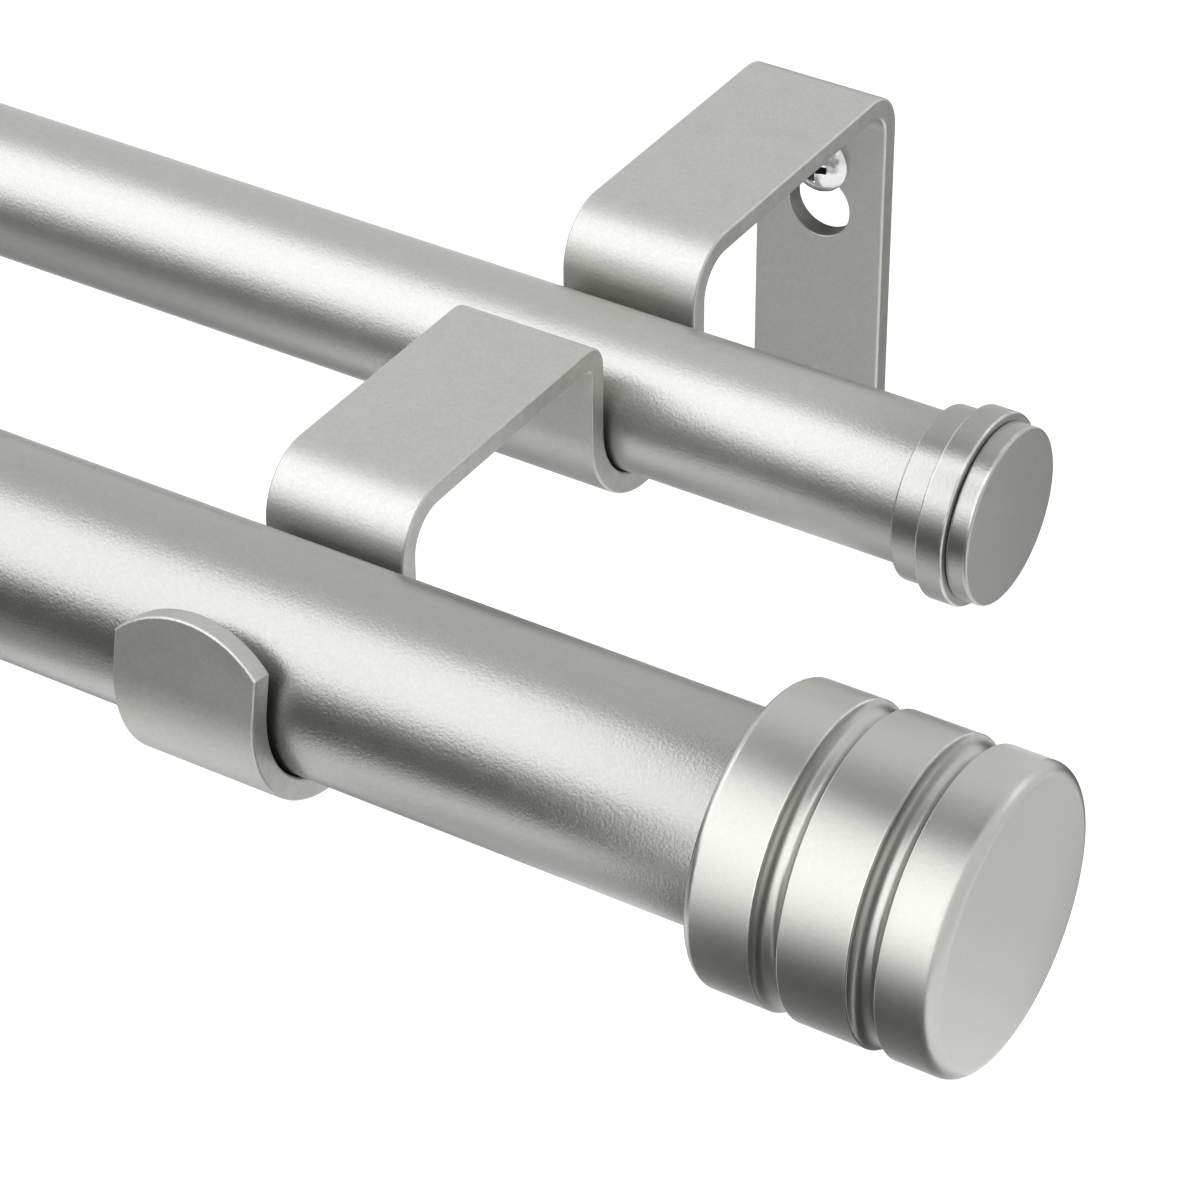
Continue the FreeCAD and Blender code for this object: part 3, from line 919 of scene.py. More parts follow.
def ring_grid_faces(rows, columns):
    """Quads between neighbouring rows of a closed grid of rings, as one index array."""
    row, column = np.meshgrid(np.arange(rows - 1), np.arange(columns), indexing="ij")
    following = (column + 1) % columns
    quads = [
        row * columns + column, (row + 1) * columns + column,
        (row + 1) * columns + following, row * columns + following,
    ]
    return np.stack(quads, axis=-1).reshape(-1, 4)


def fan_faces(ring_start, columns, tip, turned):
    """Triangles from one ring of the grid to the single vertex that closes it."""
    column = np.arange(columns)
    a, b = ring_start + column, ring_start + (column + 1) % columns
    if turned:
        a, b = b, a
    return np.stack([a, b, np.full(columns, tip)], axis=-1)


def head_rows(sizes, head_radius):
    """Radius and height of the head's dome at a row of radii from its middle to its rim.

    The dome is the part of a sphere that rises from the rim to the head's full height:
    height = head height - (R - sqrt(R^2 - r^2)), with R from the head's radius and rise.
    The rows stand closer at the recess's corners and at the ends of its slots.
    """
    rise = sizes.head_height - sizes.head_rim
    sphere = (head_radius ** 2 + rise ** 2) / (2.0 * rise)
    corner = sizes.recess_slot / math.sqrt(2.0)
    half_span = sizes.recess_span / 2.0
    radii = np.concatenate([
        # over the floor where the slots meet, and closer round its corners
        np.linspace(0.12, 0.90, 4) * corner,
        [corner * 0.97, corner * 1.04, corner * 1.12],
        # along the slots, and closer at their ends
        np.linspace(corner * 1.25, half_span * 0.97, 9),
        [half_span, half_span * 1.04],
        # out to the head's rim
        np.linspace(half_span * 1.12, head_radius * 0.985, 9),
        [head_radius],
    ])
    return radii, sizes.head_height - (sphere - np.sqrt(sphere ** 2 - radii ** 2))


def recess_grid(sizes, radii, heights):
    """Angles and heights of a quarter of the head's grid, with the cross recess sunk in it.

    Each quarter turn holds one slot. At a radius r its walls stand at the angle whose sine is
    half the slot's width over r, so the grid's columns follow the straight walls. Inside the
    slot the height falls in a straight line from the dome at the end of the slot to the floor,
    and the four slots meet in a floor that dips to a shallow cone.
    """
    half_slot, half_span = sizes.recess_slot / 2.0, sizes.recess_span / 2.0
    wall = np.arcsin(np.minimum(half_slot / radii, WALL_SINE))[:, None]
    foot = np.arcsin(np.minimum(RECESS_TAPER * half_slot / radii, FLOOR_SINE))[:, None]
    quarter = math.radians(45.0)
    # columns on the slot's floor, a little outside its wall but at most halfway to the
    # quarter's end, and on the dome up to that end
    inside = foot * np.linspace(-1.0, 1.0, 5)[None, :]
    lip = np.minimum(wall * 1.14 + 0.01, 0.5 * (wall + quarter))
    land = lip + (quarter - lip) * np.linspace(0.0, 1.0, 4)[None, :]
    # the last land column is the next quarter's first
    columns = np.concatenate([-land[:, :0:-1], -wall, inside, wall, land[:, :-1]], axis=1)
    deep = sizes.head_height - sizes.recess_depth
    end_height = np.interp(half_span, radii, heights)
    slope = np.clip((radii - RECESS_MIDDLE) / (half_span - RECESS_MIDDLE), 0.0, 1.0)
    floor = deep + (end_height - deep) * slope
    floor = floor - RECESS_DIP * np.clip(1.0 - radii / RECESS_MIDDLE, 0.0, 1.0)
    floor = np.minimum(floor, heights)[:, None]
    # columns 3 and 9 stand on the slot's walls, and columns 4 to 8 on its floor
    is_slot, is_wall = np.zeros((2, columns.shape[1]), bool)
    is_slot[4:9] = True
    is_wall[[3, 9]] = True
    surface = np.repeat(heights[:, None], columns.shape[1], axis=1)
    opened = (radii < half_span)[:, None]
    middle = (radii < sizes.recess_slot / math.sqrt(2.0))[:, None]
    lowered = np.where(is_slot | middle, floor, surface)
    lowered = np.where(is_wall & ~middle & opened, surface - RECESS_LIP, lowered)
    return columns, np.where(opened, lowered, surface)


def shank_profile(sizes, head_radius, length):
    """Radius and depth of the screw from its head's rim over neck and core to its point.

    The point is a cone with a slightly rounded flank, given by shares of its own size.
    """
    core, neck, point = sizes.core_diameter / 2.0, sizes.neck_diameter / 2.0, sizes.point_length
    full_core = sizes.neck_length + CORE_START
    return np.array([
        # the head's rim, its rounded lower edge and its flat underside
        [head_radius, -sizes.head_rim + HEAD_BEVEL],
        [head_radius, -HEAD_BEVEL],
        [head_radius - HEAD_BEVEL * 0.3, -HEAD_BEVEL * 0.3],
        [head_radius - HEAD_BEVEL, 0.0],
        [neck + HEAD_BEVEL, 0.0],
        # the neck and the core
        [neck, HEAD_BEVEL],
        [neck, sizes.neck_length * NECK_STRAIGHT],
        [core, full_core],
        [core, (sizes.neck_length + length - point) / 2.0],
        # the point
        [core, length - point],
        [core * 0.62, length - point * 0.55],
        [core * 0.10, length - point * 0.04],
    ])


def screw_body(sizes, head_radius, length):
    """Points and faces of the head, neck, core and point as one closed surface of rings.

    The profile of radius and depth is carried round the screw's axis, with the cross recess
    sunk into the rings of the head. Depth is measured from the underside of the head.
    """
    radii, heights = head_rows(sizes, head_radius)
    quarter_angles, head_heights = recess_grid(sizes, radii, heights)
    angles = np.concatenate([quarter_angles + math.radians(90.0 * k) for k in range(4)], axis=1)
    head_depth = -np.tile(head_heights, (1, 4))
    columns = angles.shape[1]
    even = math.radians(-45.0) + np.arange(columns) * (2.0 * math.pi / columns)
    shank = shank_profile(sizes, head_radius, length)
    blend = np.linspace(0.0, 1.0, len(shank))[:, None]
    all_angles = np.concatenate([angles, angles[-1] * (1.0 - blend) + even * blend])
    all_radii = np.concatenate([radii, shank[:, 0]])[:, None]
    all_depths = np.concatenate([head_depth, np.repeat(shank[:, 1:], columns, axis=1)])
    points = np.stack(
        [all_radii * np.cos(all_angles), all_depths, all_radii * np.sin(all_angles)], axis=-1
    ).reshape(-1, 3)
    rows = len(all_angles)
    middle_depth = -(heights[0] - sizes.recess_depth) + RECESS_DIP
    ends = [[0.0, middle_depth, 0.0], [0.0, length, 0.0]]
    triangles = np.concatenate([
        fan_faces(0, columns, rows * columns, False),
        fan_faces((rows - 1) * columns, columns, rows * columns + 1, True),
    ])
    sunk = np.zeros(len(points) + len(ends), bool)
    sunk[:head_depth.size] = (heights[:, None] + head_depth).ravel() > RECESS_SHADE_DEPTH
    sunk[len(points)] = True
    return np.concatenate([points, ends]), ring_grid_faces(rows, columns), triangles, sunk


def screw_thread(sizes, length):
    """Points and faces of the thread: a ridge carried along a helix round the core.

    At turn t the ridge lies at the depth start + pitch * t. Its crest stands at the outer
    radius, and narrows to nothing over the point and at the thread's first and last turns.
    """
    start = sizes.neck_length + THREAD_START
    turns = (length - THREAD_END - start) / sizes.thread_pitch
    turn = np.linspace(0.0, turns, int(round(turns * THREAD_STEPS)))
    depth = start + sizes.thread_pitch * turn
    narrowing = np.clip((length - depth) / sizes.point_length, 0.0, 1.0)
    core = sizes.core_diameter / 2.0 * narrowing
    growth = np.clip(turn / THREAD_GROWS, 0.0, 1.0)
    growth = growth * np.clip((turns - turn) / THREAD_FADES, 0.0, 1.0)
    crest = core + (sizes.thread_diameter / 2.0 * narrowing - core) * growth
    # the ridge is sunk less at the point's tip, and its foot is narrower there and where
    # the thread grows and fades
    foot = core - THREAD_SUNK * np.minimum(1.0, narrowing * 4.0)
    half_foot = THREAD_FOOT * (0.35 + 0.65 * growth) * np.minimum(1.0, 0.3 + narrowing)
    radius = np.stack([foot, crest, crest, foot], axis=1)
    offset = np.stack([-half_foot, 0.0 * turn - THREAD_CREST, 0.0 * turn + THREAD_CREST, half_foot],
                      axis=1)
    angle = (2.0 * math.pi * turn)[:, None]
    points = np.stack(
        [radius * np.cos(angle), depth[:, None] + offset, radius * np.sin(angle)], axis=-1
    ).reshape(-1, 3)
    last = len(points) - 4
    ends = np.array([[0, 1, 2, 3], [last, last + 3, last + 2, last + 1]])
    return points, np.concatenate([ring_grid_faces(len(turn), 4), ends])


def wood_screw(name, sizes, head_radius, length, place):
    """One screw along +Y, the underside of its head at a place, as an object at the origin.

    Faces whose corners are all sunk into the head take the second material, a darker one that
    paints in the shade inside the recess.
    """
    points, quads, triangles, sunk = screw_body(sizes, head_radius, length)
    thread_points, thread_quads = screw_thread(sizes, length)
    quads = np.concatenate([quads, thread_quads + len(points)])
    sunk = np.concatenate([sunk, np.zeros(len(thread_points), bool)])
    points = np.concatenate([points, thread_points]) + place
    mesh = smooth_mesh(name, points, quads.tolist() + triangles.tolist())
    mesh.set_sharp_from_angle(angle=SHARP_ANGLE)
    second = np.concatenate([sunk[quads].all(axis=1), sunk[triangles].all(axis=1)])
    mesh.polygons.foreach_set("material_index", second.astype(np.int32))
    return linked_object(name, mesh)


# Shader nodes


def set_inputs(tree, node, inputs):
    """Links each input to the socket that is given for it, or sets it to the given value."""
    for key, value in inputs.items():
        if isinstance(value, bpy.types.NodeSocket):
            tree.links.new(value, node.inputs[key])
        else:
            node.inputs[key].default_value = value


def add_node(tree, kind, inputs=None, **settings):
    """A node of a tree with its settings and its inputs."""
    made = tree.nodes.new(kind)
    for key, value in settings.items():
        setattr(made, key, value)
    set_inputs(tree, made, inputs or {})
    return made


def maths(tree, operation, *values):
    """Result of a Math node for values that are sockets or numbers."""
    return add_node(
        tree, "ShaderNodeMath", dict(enumerate(values)), operation=operation
    ).outputs[0]


def highest(tree, values):
    """The highest of some values."""
    top = values[0]
    for value in values[1:]:
        top = maths(tree, "MAXIMUM", top, value)
    return top


def ranged(tree, value, low, high, start=0.0, end=1.0, curve="LINEAR"):
    """A value from start to end brought to the range from low to high, and held inside it."""
    inputs = {"Value": value, "From Min": start, "From Max": end, "To Min": low, "To Max": high}
    return add_node(
        tree, "ShaderNodeMapRange", inputs, interpolation_type=curve
    ).outputs["Result"]


def scaled_noise(tree, place, size, detail, roughness):
    """Noise whose cells have the size of a socket, in metres."""
    return add_node(tree, "ShaderNodeTexNoise", {
        "Vector": place, "Scale": maths(tree, "DIVIDE", 1.0, size), "Detail": detail,
        "Roughness": roughness,
    }).outputs["Fac"]


def blended(tree, first, second, share):
    """Weighted mean of two values: first * (1 - share) + second * share."""
    return add_node(
        tree, "ShaderNodeMix", {"Factor": share, "A": first, "B": second}, data_type="FLOAT"
    ).outputs["Result"]


def new_group(name, inputs, outputs):
    """An empty shader group, the sockets that give its inputs, and its output node.

    An input without a default is a vector, and all other sockets are plain values.
    """
    tree = bpy.data.node_groups.new(name, "ShaderNodeTree")
    for socket_name, value in inputs.items():
        kind = "NodeSocketVector" if value is None else "NodeSocketFloat"
        socket = tree.interface.new_socket(name=socket_name, in_out="INPUT", socket_type=kind)
        if value is not None:
            socket.default_value = value
    for socket_name in outputs:
        tree.interface.new_socket(
            name=socket_name, in_out="OUTPUT", socket_type="NodeSocketFloat"
        )
    given = tree.nodes.new("NodeGroupInput").outputs
    return tree, given, tree.nodes.new("NodeGroupOutput")


def satin_grain_group():
    """Fine grain of blasted and lacquered metal.

    Grain is a fine noise, flakes are cells with a chance brightness each, and the mottle is a
    slow noise. Tone and Roughness run about 0.5, Height runs from 0 to 1.
    """
    tree, given, end = new_group(
        "satin_grain",
        {"Vector": None, "Grain Size": 0.22 * MM, "Flake Size": 0.16 * MM,
         "Mottle Size": 2.2 * MM},
        ("Tone", "Roughness", "Height"),
    )
    grain = scaled_noise(
        tree, given["Vector"], given["Grain Size"], detail=3.0, roughness=0.62
    )
    mottle = scaled_noise(
        tree, given["Vector"], given["Mottle Size"], detail=2.0, roughness=0.5
    )
    cells = add_node(tree, "ShaderNodeTexVoronoi", {
        "Vector": given["Vector"], "Scale": maths(tree, "DIVIDE", 1.0, given["Flake Size"]),
    }, feature="F1")
    flake = add_node(tree, "ShaderNodeSeparateColor", {0: cells.outputs["Color"]}).outputs[0]
    set_inputs(tree, end, {
        "Tone": blended(tree, flake, mottle, share=0.45),
        "Roughness": blended(tree, grain, mottle, share=0.5),
        "Height": blended(tree, grain, mottle, share=0.25),
    })


def worn_edge_and_highlight_group():
    """Mask of the thin brighter line along an edge: rubbed wear with a painted highlight.

    The mask is 1 where the place along an axis is the edge's place, falls to 0 over the
    width on both sides, and is broken up by a noise along the edge.
    """
    tree, given, end = new_group(
        "worn_edge_and_highlight",
        {"Vector": None, "Place": 0.0, "Edge": 0.0, "Width": 0.4 * MM, "Breakup Size": 1.5 * MM},
        ("Mask",),
    )
    away = maths(tree, "ABSOLUTE", maths(tree, "SUBTRACT", given["Place"], given["Edge"]))
    near = ranged(tree, away, low=1.0, high=0.0, end=given["Width"], curve="SMOOTHSTEP")
    broken = scaled_noise(
        tree, given["Vector"], given["Breakup Size"], detail=3.0, roughness=0.6
    )
    share = ranged(tree, broken, low=0.35, high=1.0, start=0.35, end=0.65)
    set_inputs(tree, end, {"Mask": maths(tree, "MULTIPLY", near, share)})


GROUP_MAKERS = {"satin_grain": satin_grain_group, "worn_edge_and_highlight": worn_edge_and_highlight_group}


def placed_group(tree, name, inputs):
    """Outputs of a shared group placed in a material, built the first time it is used."""
    if name not in bpy.data.node_groups:
        GROUP_MAKERS[name]()
    group = bpy.data.node_groups[name]
    return add_node(tree, "ShaderNodeGroup", inputs, node_tree=group).outputs


# Materials

# sizes of the flakes and of the slow mottle, as multiples of the grain's size
FLAKE_SIZE, MOTTLE_SIZE = 0.75, 11.0
# the grain of the screws' plating, as a multiple of the satin grain's size
PLATED_GRAIN = 0.8
# how far the grain makes the finish rougher and smoother, and how far an edge is brightened by
# rubbed wear and painted highlight
ROUGHNESS_SPREAD, EDGE_WEAR_AND_HIGHLIGHT_SHARE = 0.06, 0.8


def satin_metal(name, colour, roughness, grain_size, grain_depth, relief, edges=(),
                edge_width=0.0, edge_gain=1.0):
    """Satin lacquered metal whose tone, roughness and relief follow the shared grain.

    Grain depth is how far the grain lightens and darkens the colour, as a share of it. Edges
    are places along the object's X axis where the finish is painted brighter: rubbed wear with a
    painted highlight.
    """
    material = bpy.data.materials.new(name)
    material.use_nodes = True
    tree = material.node_tree
    place = add_node(tree, "ShaderNodeTexCoord").outputs["Object"]
    grain = placed_group(tree, "satin_grain", {
        "Vector": place, "Grain Size": grain_size, "Flake Size": grain_size * FLAKE_SIZE,
        "Mottle Size": grain_size * MOTTLE_SIZE,
    })
    finish_colour = add_node(tree, "ShaderNodeMix", {
        "Factor": 1.0, "A": (*colour, 1.0),
        "B": ranged(tree, grain["Tone"], 1.0 - grain_depth, 1.0 + grain_depth),
    }, data_type="RGBA", blend_type="MULTIPLY").outputs["Result"]
    # brighter colour along the edges: rubbed wear with a painted highlight
    if edges:
        along = add_node(tree, "ShaderNodeSeparateXYZ", {0: place}).outputs["X"]
        edge_wear_and_highlight = highest(tree, [
            placed_group(tree, "worn_edge_and_highlight", {
                "Vector": place, "Place": along, "Edge": edge, "Width": edge_width,
            })["Mask"]
            for edge in edges
        ])
        bright = [min(1.0, channel * edge_gain) for channel in colour]
        finish_colour = add_node(tree, "ShaderNodeMix", {
            "Factor": ranged(tree, edge_wear_and_highlight, low=0.0, high=EDGE_WEAR_AND_HIGHLIGHT_SHARE), "A": finish_colour,
            "B": (*bright, 1.0),
        }, data_type="RGBA").outputs["Result"]
    bump = add_node(tree, "ShaderNodeBump", {
        "Strength": 1.0, "Distance": relief, "Height": grain["Height"],
    })
    set_inputs(tree, tree.nodes["Principled BSDF"], {
        "Metallic": 1.0,
        "Base Color": finish_colour,
        "Roughness": ranged(tree, grain["Roughness"], roughness - ROUGHNESS_SPREAD,
                            roughness + ROUGHNESS_SPREAD),
        "Normal": bump.outputs["Normal"],
    })
    return material


def finish_node(node_name, material):
    """Gives a CAD node a material in place of its plain one."""
    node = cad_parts[node_name]
    if not node.material_slots:
        node.data.materials.append(material)
    for slot in node.material_slots:
        slot.material = material


# Operators


class CURTAINPOLE_OT_tubes(bpy.types.Operator):
    """Give the front and the rear tube their satin finish"""

    bl_idname = "curtainpole.tubes"
    bl_label = "Finish the tubes"

    def execute(self, context):
        look = context.scene.curtain_pole_finish
        # each tube takes a darker copy of the satin finish, painted shade
        for node_name, colour, roughness in (
            ("front_pole", look.front_shaded_colour, look.front_roughness),
            ("rear_pole", look.rear_shaded_colour, look.rear_roughness),
        ):
            finish_node(node_name, satin_metal(
                "satin_" + node_name, colour, roughness, look.grain_size,
                look.tube_grain, look.tube_relief,
            ))
        return {"FINISHED"}


def inner_end(node_name, way):
    """Where a cap begins along X, at its end towards the middle of the poles."""
    low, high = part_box(node_name)
    return low.x if way > 0.0 else high.x


def cap_highlight_rims(sizes, row):
    """Places along X of the rims of a row's two caps where a painted highlight brightens the
    finish.
    """
    if row == "front":
        lip = sizes.groove_lip / 2.0
        second_band = sizes.band_width + sizes.groove_width
        rims = (sizes.band_width - lip, second_band + sizes.band_width - lip)
    else:
        edge, joint = sizes.thin_edge, sizes.thin_inner_ring + sizes.thin_middle_ring
        rims = (sizes.thin_inner_ring + edge / 2.0, joint - edge / 2.0,
                length_along("rear_cap_right", 0) - edge)
    return [
        inner_end(row + "_cap_" + side, way) + way * rim
        for side, way in SIDES.items() for rim in rims
    ]


class CURTAINPOLE_OT_caps(bpy.types.Operator):
    """Make the four turned end caps with their grooves, rings and soft edges"""

    bl_idname = "curtainpole.caps"
    bl_label = "Make the end caps"

    def execute(self, context):
        sizes = context.scene.curtain_pole_caps
        look = context.scene.curtain_pole_finish
        # the thin caps' colour is a darker copy of the finish, painted shade
        for row, colour, relief in (
            ("front", look.cap_colour, look.cap_relief),
            ("rear", look.rear_cap_shaded_colour, look.thin_cap_relief),
        ):
            # the caps' rims get a painted highlight
            finish = satin_metal(
                "satin_" + row + "_cap", colour, look.cap_roughness, look.grain_size,
                look.cap_grain, relief, cap_highlight_rims(sizes, row), look.rim_highlight_width, look.rim_highlight_gain,
            )
            bore = length_along(row + "_pole", 2) / 2.0 + sizes.bore_clearance
            for side, way in SIDES.items():
                node_name = row + "_cap_" + side
                centre, length = middle_of(node_name), length_along(node_name, 0)
                if row == "front":
                    radius = length_along(node_name, 2) / 2.0
                    runs = thick_cap_runs(sizes, radius, length, bore)
                else:
                    runs = thin_cap_runs(sizes, length, bore)
                mirror = np.array([way, 1.0, 1.0])
                patches = [(points * mirror, normals * mirror)
                           for points, normals in revolved(runs, CAP_COLUMNS)]
                piece = welded_piece("turned_" + node_name, patches,
                                     (inner_end(node_name, way), centre.y, centre.z))
                piece.data.materials.append(finish)
                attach(piece, "root")
                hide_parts(node_name)
        return {"FINISHED"}


class CURTAINPOLE_OT_brackets(bpy.types.Operator):
    """Make the two brackets, each one strip folded round both poles, with soft edges"""

    bl_idname = "curtainpole.brackets"
    bl_label = "Make the brackets"

    def execute(self, context):
        sizes = context.scene.curtain_pole_brackets
        look = context.scene.curtain_pole_finish
        cups = []
        for node_name in ("front_pole", "rear_pole"):
            centre = middle_of(node_name)
            radius = length_along(node_name, 2) / 2.0 + sizes.cup_clearance
            cups.append((centre.y, centre.z + sizes.cup_clearance, radius))
        for side in SIDES:
            node_name = "bracket_" + side
            low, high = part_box(node_name)
            strip = folded_strip(sizes, low, high, *cups)
            patches = strip_faces(sizes, strip) + [strip_rim(sizes, strip)]
            patches += plate_holes(sizes, strip, low.z)
            middle = (low.x + high.x) / 2.0
            piece = welded_piece("folded_" + node_name, patches, (middle, 0.0, 0.0))
            # the strip's two sides get rubbed wear with a painted highlight
            piece.data.materials.append(satin_metal(
                "satin_" + node_name, look.bracket_colour, look.bracket_roughness,
                look.grain_size, look.bracket_grain, look.bracket_relief,
                (low.x, high.x), look.edge_width, look.edge_gain,
            ))
            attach(piece, "root")
            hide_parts(node_name)
        return {"FINISHED"}


class CURTAINPOLE_OT_screws(bpy.types.Operator):
    """Make the four plated wood screws, with cross recess and thread, over their plain solids"""

    bl_idname = "curtainpole.screws"
    bl_label = "Make the screws"

    def execute(self, context):
        sizes = context.scene.curtain_pole_screws
        look = context.scene.curtain_pole_finish
        grain_size = look.grain_size * PLATED_GRAIN
        plated = satin_metal("plated_screw", look.screw_colour, look.screw_roughness,
                             grain_size, look.screw_grain, look.screw_relief)
        # the recess's material is darker, painted shade
        recess = satin_metal("screw_recess_painted_shade", look.recess_shade_colour, look.recess_roughness,
                             grain_size, look.recess_grain, look.recess_relief)
        for side in SIDES:
            for level in ("upper", "lower"):
                node_name = "screw_" + level + "_" + side
                low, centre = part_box(node_name)[0], middle_of(node_name)
                piece = wood_screw(
                    "wood_" + node_name, sizes, length_along(node_name, 0) / 2.0,
                    length_along(node_name, 1) - sizes.head_height,
                    [centre.x, low.y + sizes.head_height, centre.z],
                )
                piece.data.materials.append(plated)
                piece.data.materials.append(recess)
                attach(piece, "root")
                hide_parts(node_name)
        return {"FINISHED"}


# Studio

# what the lamps and the dark card are turned to
TARGET = Vector((0.0, -0.1, 0.02))
FLOOR_SIZE = 14.0
LAMP_DISTANCE = 1.2
# way to each lamp from the target, and its width and height
KEY_WAY, KEY_SIZE = (-0.30, -0.55, 0.78), (2.4, 1.55)
RIM_WAY, RIM_SIZE = (0.58, 0.69, 0.43), (0.5, 0.4)
# the dark card in front of the tubes: its way, distance, the way its width runs, its size
# and its grey
DARK_WAY, DARK_DISTANCE, DARK_ACROSS = (-0.45, -0.873, -0.186), 0.5, (1.0, -0.5, 0.0)
DARK_SIZE, DARK_GREY = (1.6, 0.36), 0.14
# the photograph's camera: place, ways ahead and to its right, lens and sensor in millimetres
CAMERA_PLACE = Vector((0.256414, -0.470196, 0.326998))
CAMERA_AHEAD = Vector((-0.429451, 0.690830, -0.581658))
CAMERA_RIGHT = Vector((0.850188, 0.526473, -0.002425))
LENS, SENSOR = 140.648, 36.0

# flat cards: two far corners in metres, and the greys of the left and right edges
FLAT_CARDS = (
    # behind the wall side, mirrored by the strips' right edges and by the caps' faces
    ("edge_card", (0.0, 0.14, -0.42), (0.155, 0.14, -0.03), 0.0, 0.10),
    ("thin_face_card", (0.155, 0.14, -0.42), (0.20, 0.14, -0.03), 0.10, 2.1),
    ("thick_face_card", (0.20, 0.14, -0.42), (0.36, 0.14, -0.06), 0.80, 0.80),
    # under the brackets, mirrored by the rear tube's underside
    ("under_card", (-0.79, -0.105, -0.11), (-0.02, 0.0, -0.11), 0.42, 0.42),
    ("under_front_card", (-0.79, -0.20, -0.11), (-0.11, -0.105, -0.11), 0.66, 0.66),
    ("under_far_card", (-0.79, -0.30, -0.11), (-0.085, -0.20, -0.11), 0.46, 0.46),
    ("under_end_card", (-0.045, -0.20, -0.11), (0.0, -0.105, -0.11), 0.80, 0.80),
    # behind the keyhole, mirrored by the wall of the hole
    ("keyhole_card", (-0.016, 0.010, -0.012), (0.0115, 0.010, 0.029), 0.01, 0.01),
    # low behind the wall side, mirrored by the top edge of the front tube
    ("top_edge_card", (-0.09, 0.03, -0.12), (-0.03, 0.03, -0.042), 0.10, 0.10),
)

# greys at angles round the right thick cap, from over its back to under it: at the cap's
# inner band, and from its middle band outwards
CAP_DEGREES = (66, 72, 83, 94, 99, 105, 115, 126, 137, 147, 158, 168, 179, 190, 200, 211, 222,
               233, 245, 256, 267, 279, 291)
CAP_INNER = (0.95, 0.84, 0.54, 0.46, 0.55, 0.92, 1.60, 1.85, 1.95, 2.05, 2.08, 2.04, 1.98, 1.62,
             0.95, 0.30, 0.16, 0.14, 0.18, 0.22, 0.34, 0.60, 0.85)
CAP_OUTER = (0.95, 0.86, 0.60, 0.42, 0.42, 0.66, 1.42, 1.88, 2.04, 2.12, 2.12, 1.95, 1.46, 0.80,
             0.38, 0.17, 0.12, 0.15, 0.22, 0.26, 0.36, 0.60, 0.80)
# greys at angles of the ring that the thick cap's grooves mirror: near the cap, which their
# steep walls see, and further out, which their lips and middles see
GROOVE_DEGREES = (40, 70, 100, 140, 180, 220, 260, 290, 320)
GROOVE_STEEP = (0.70, 0.50, 0.34, 0.18, 0.10, 0.05, 0.10, 0.40, 0.80)
GROOVE_GENTLE = (1.30, 1.30, 1.40, 1.50, 0.80, 0.22, 0.20, 0.70, 1.00)
# greys at angles round the right thin cap, on both sides of the key lamp's place
THIN_TOP_DEGREES = (-15, 8, 25, 42, 59, 75, 91, 104)
THIN_TOP = (0.75, 0.78, 0.82, 0.82, 0.82, 0.78, 0.55, 0.20)
THIN_UNDER_DEGREES = (166, 174, 184, 200, 216, 233, 250, 267, 284, 300, 330)
THIN_UNDER = (0.70, 0.35, 0.10, 0.10, 0.80, 1.05, 0.70, 0.50, 0.70, 0.90, 1.00)
# cards round a cap: the cap, the angles, and rows of a place along X, a radius and the greys
ROUND_CARDS = (
    ("cap_card", "front_cap_right", CAP_DEGREES,
     ((0.030, 0.075, CAP_INNER), (0.041, 0.075, CAP_INNER), (0.054, 0.075, CAP_OUTER),
      (0.115, 0.075, CAP_OUTER))),
    ("thin_top_card", "rear_cap_right", THIN_TOP_DEGREES,
     ((0.028, 0.040, THIN_TOP), (0.054, 0.040, THIN_TOP))),
    ("thin_under_card", "rear_cap_right", THIN_UNDER_DEGREES,
     ((0.028, 0.040, THIN_UNDER), (0.054, 0.040, THIN_UNDER))),
    ("groove_card", "front_cap_right", GROOVE_DEGREES,
     ((0.0885, 0.074, GROOVE_GENTLE), (0.0885, 0.056, GROOVE_GENTLE),
      (0.0885, 0.042, GROOVE_STEEP), (0.0885, 0.0186, GROOVE_STEEP))),
)
ROUND_CARD_POINTS = 97


def stage_object(name, data):
    """An object of the studio, which isn't part of the pole."""
    made = linked_object(name, data)
    return made


def facing(place, ahead, across):
    """Matrix that puts an object at a place, its -Z ahead and its X nearest to across."""
    back = -ahead.normalized()
    side = (Vector(across) - back * Vector(across).dot(back)).normalized()
    turn = Matrix((side, back.cross(side), back)).transposed().to_4x4()
    return Matrix.Translation(place) @ turn


def towards_target(way, distance, across):
    """Matrix of an object at a distance from the target along a way, turned to the target."""
    place = TARGET + Vector(way).normalized() * distance
    return facing(place, TARGET - place, across)


def softbox(name, way, size, brightness, colour):
    """A rectangular lamp whose face has a brightness, where 1 is white."""
    lamp = bpy.data.lights.new(name, "AREA")
    lamp.color = colour
    lamp.shape = "RECTANGLE"
    lamp.size, lamp.size_y = size
    lamp.energy = brightness * math.pi * size[0] * size[1]
    made = stage_object(name, lamp)
    made.matrix_world = towards_target(way, LAMP_DISTANCE, (1.0, 0.0, 0.0))
    made.visible_camera = False


def seen_rays(tree):
    """1 for rays from the camera, from gloss and through glass, and 0 for the light that falls."""
    path = add_node(tree, "ShaderNodeLightPath").outputs
    return highest(
        tree, [path["Is Camera Ray"], path["Is Glossy Ray"], path["Is Transmission Ray"]]
    )


def emptied(owner, output_kind):
    """The emptied node tree of a new material or world, with only its output node."""
    owner.use_nodes = True
    owner.node_tree.nodes.clear()
    return owner.node_tree, owner.node_tree.nodes.new(output_kind)


def mixed_shader(tree, share, first, second):
    """A mix of two shaders: the first where the share is 0 and the second where it is 1."""
    return add_node(tree, "ShaderNodeMixShader", {0: share, 1: first, 2: second}).outputs[0]


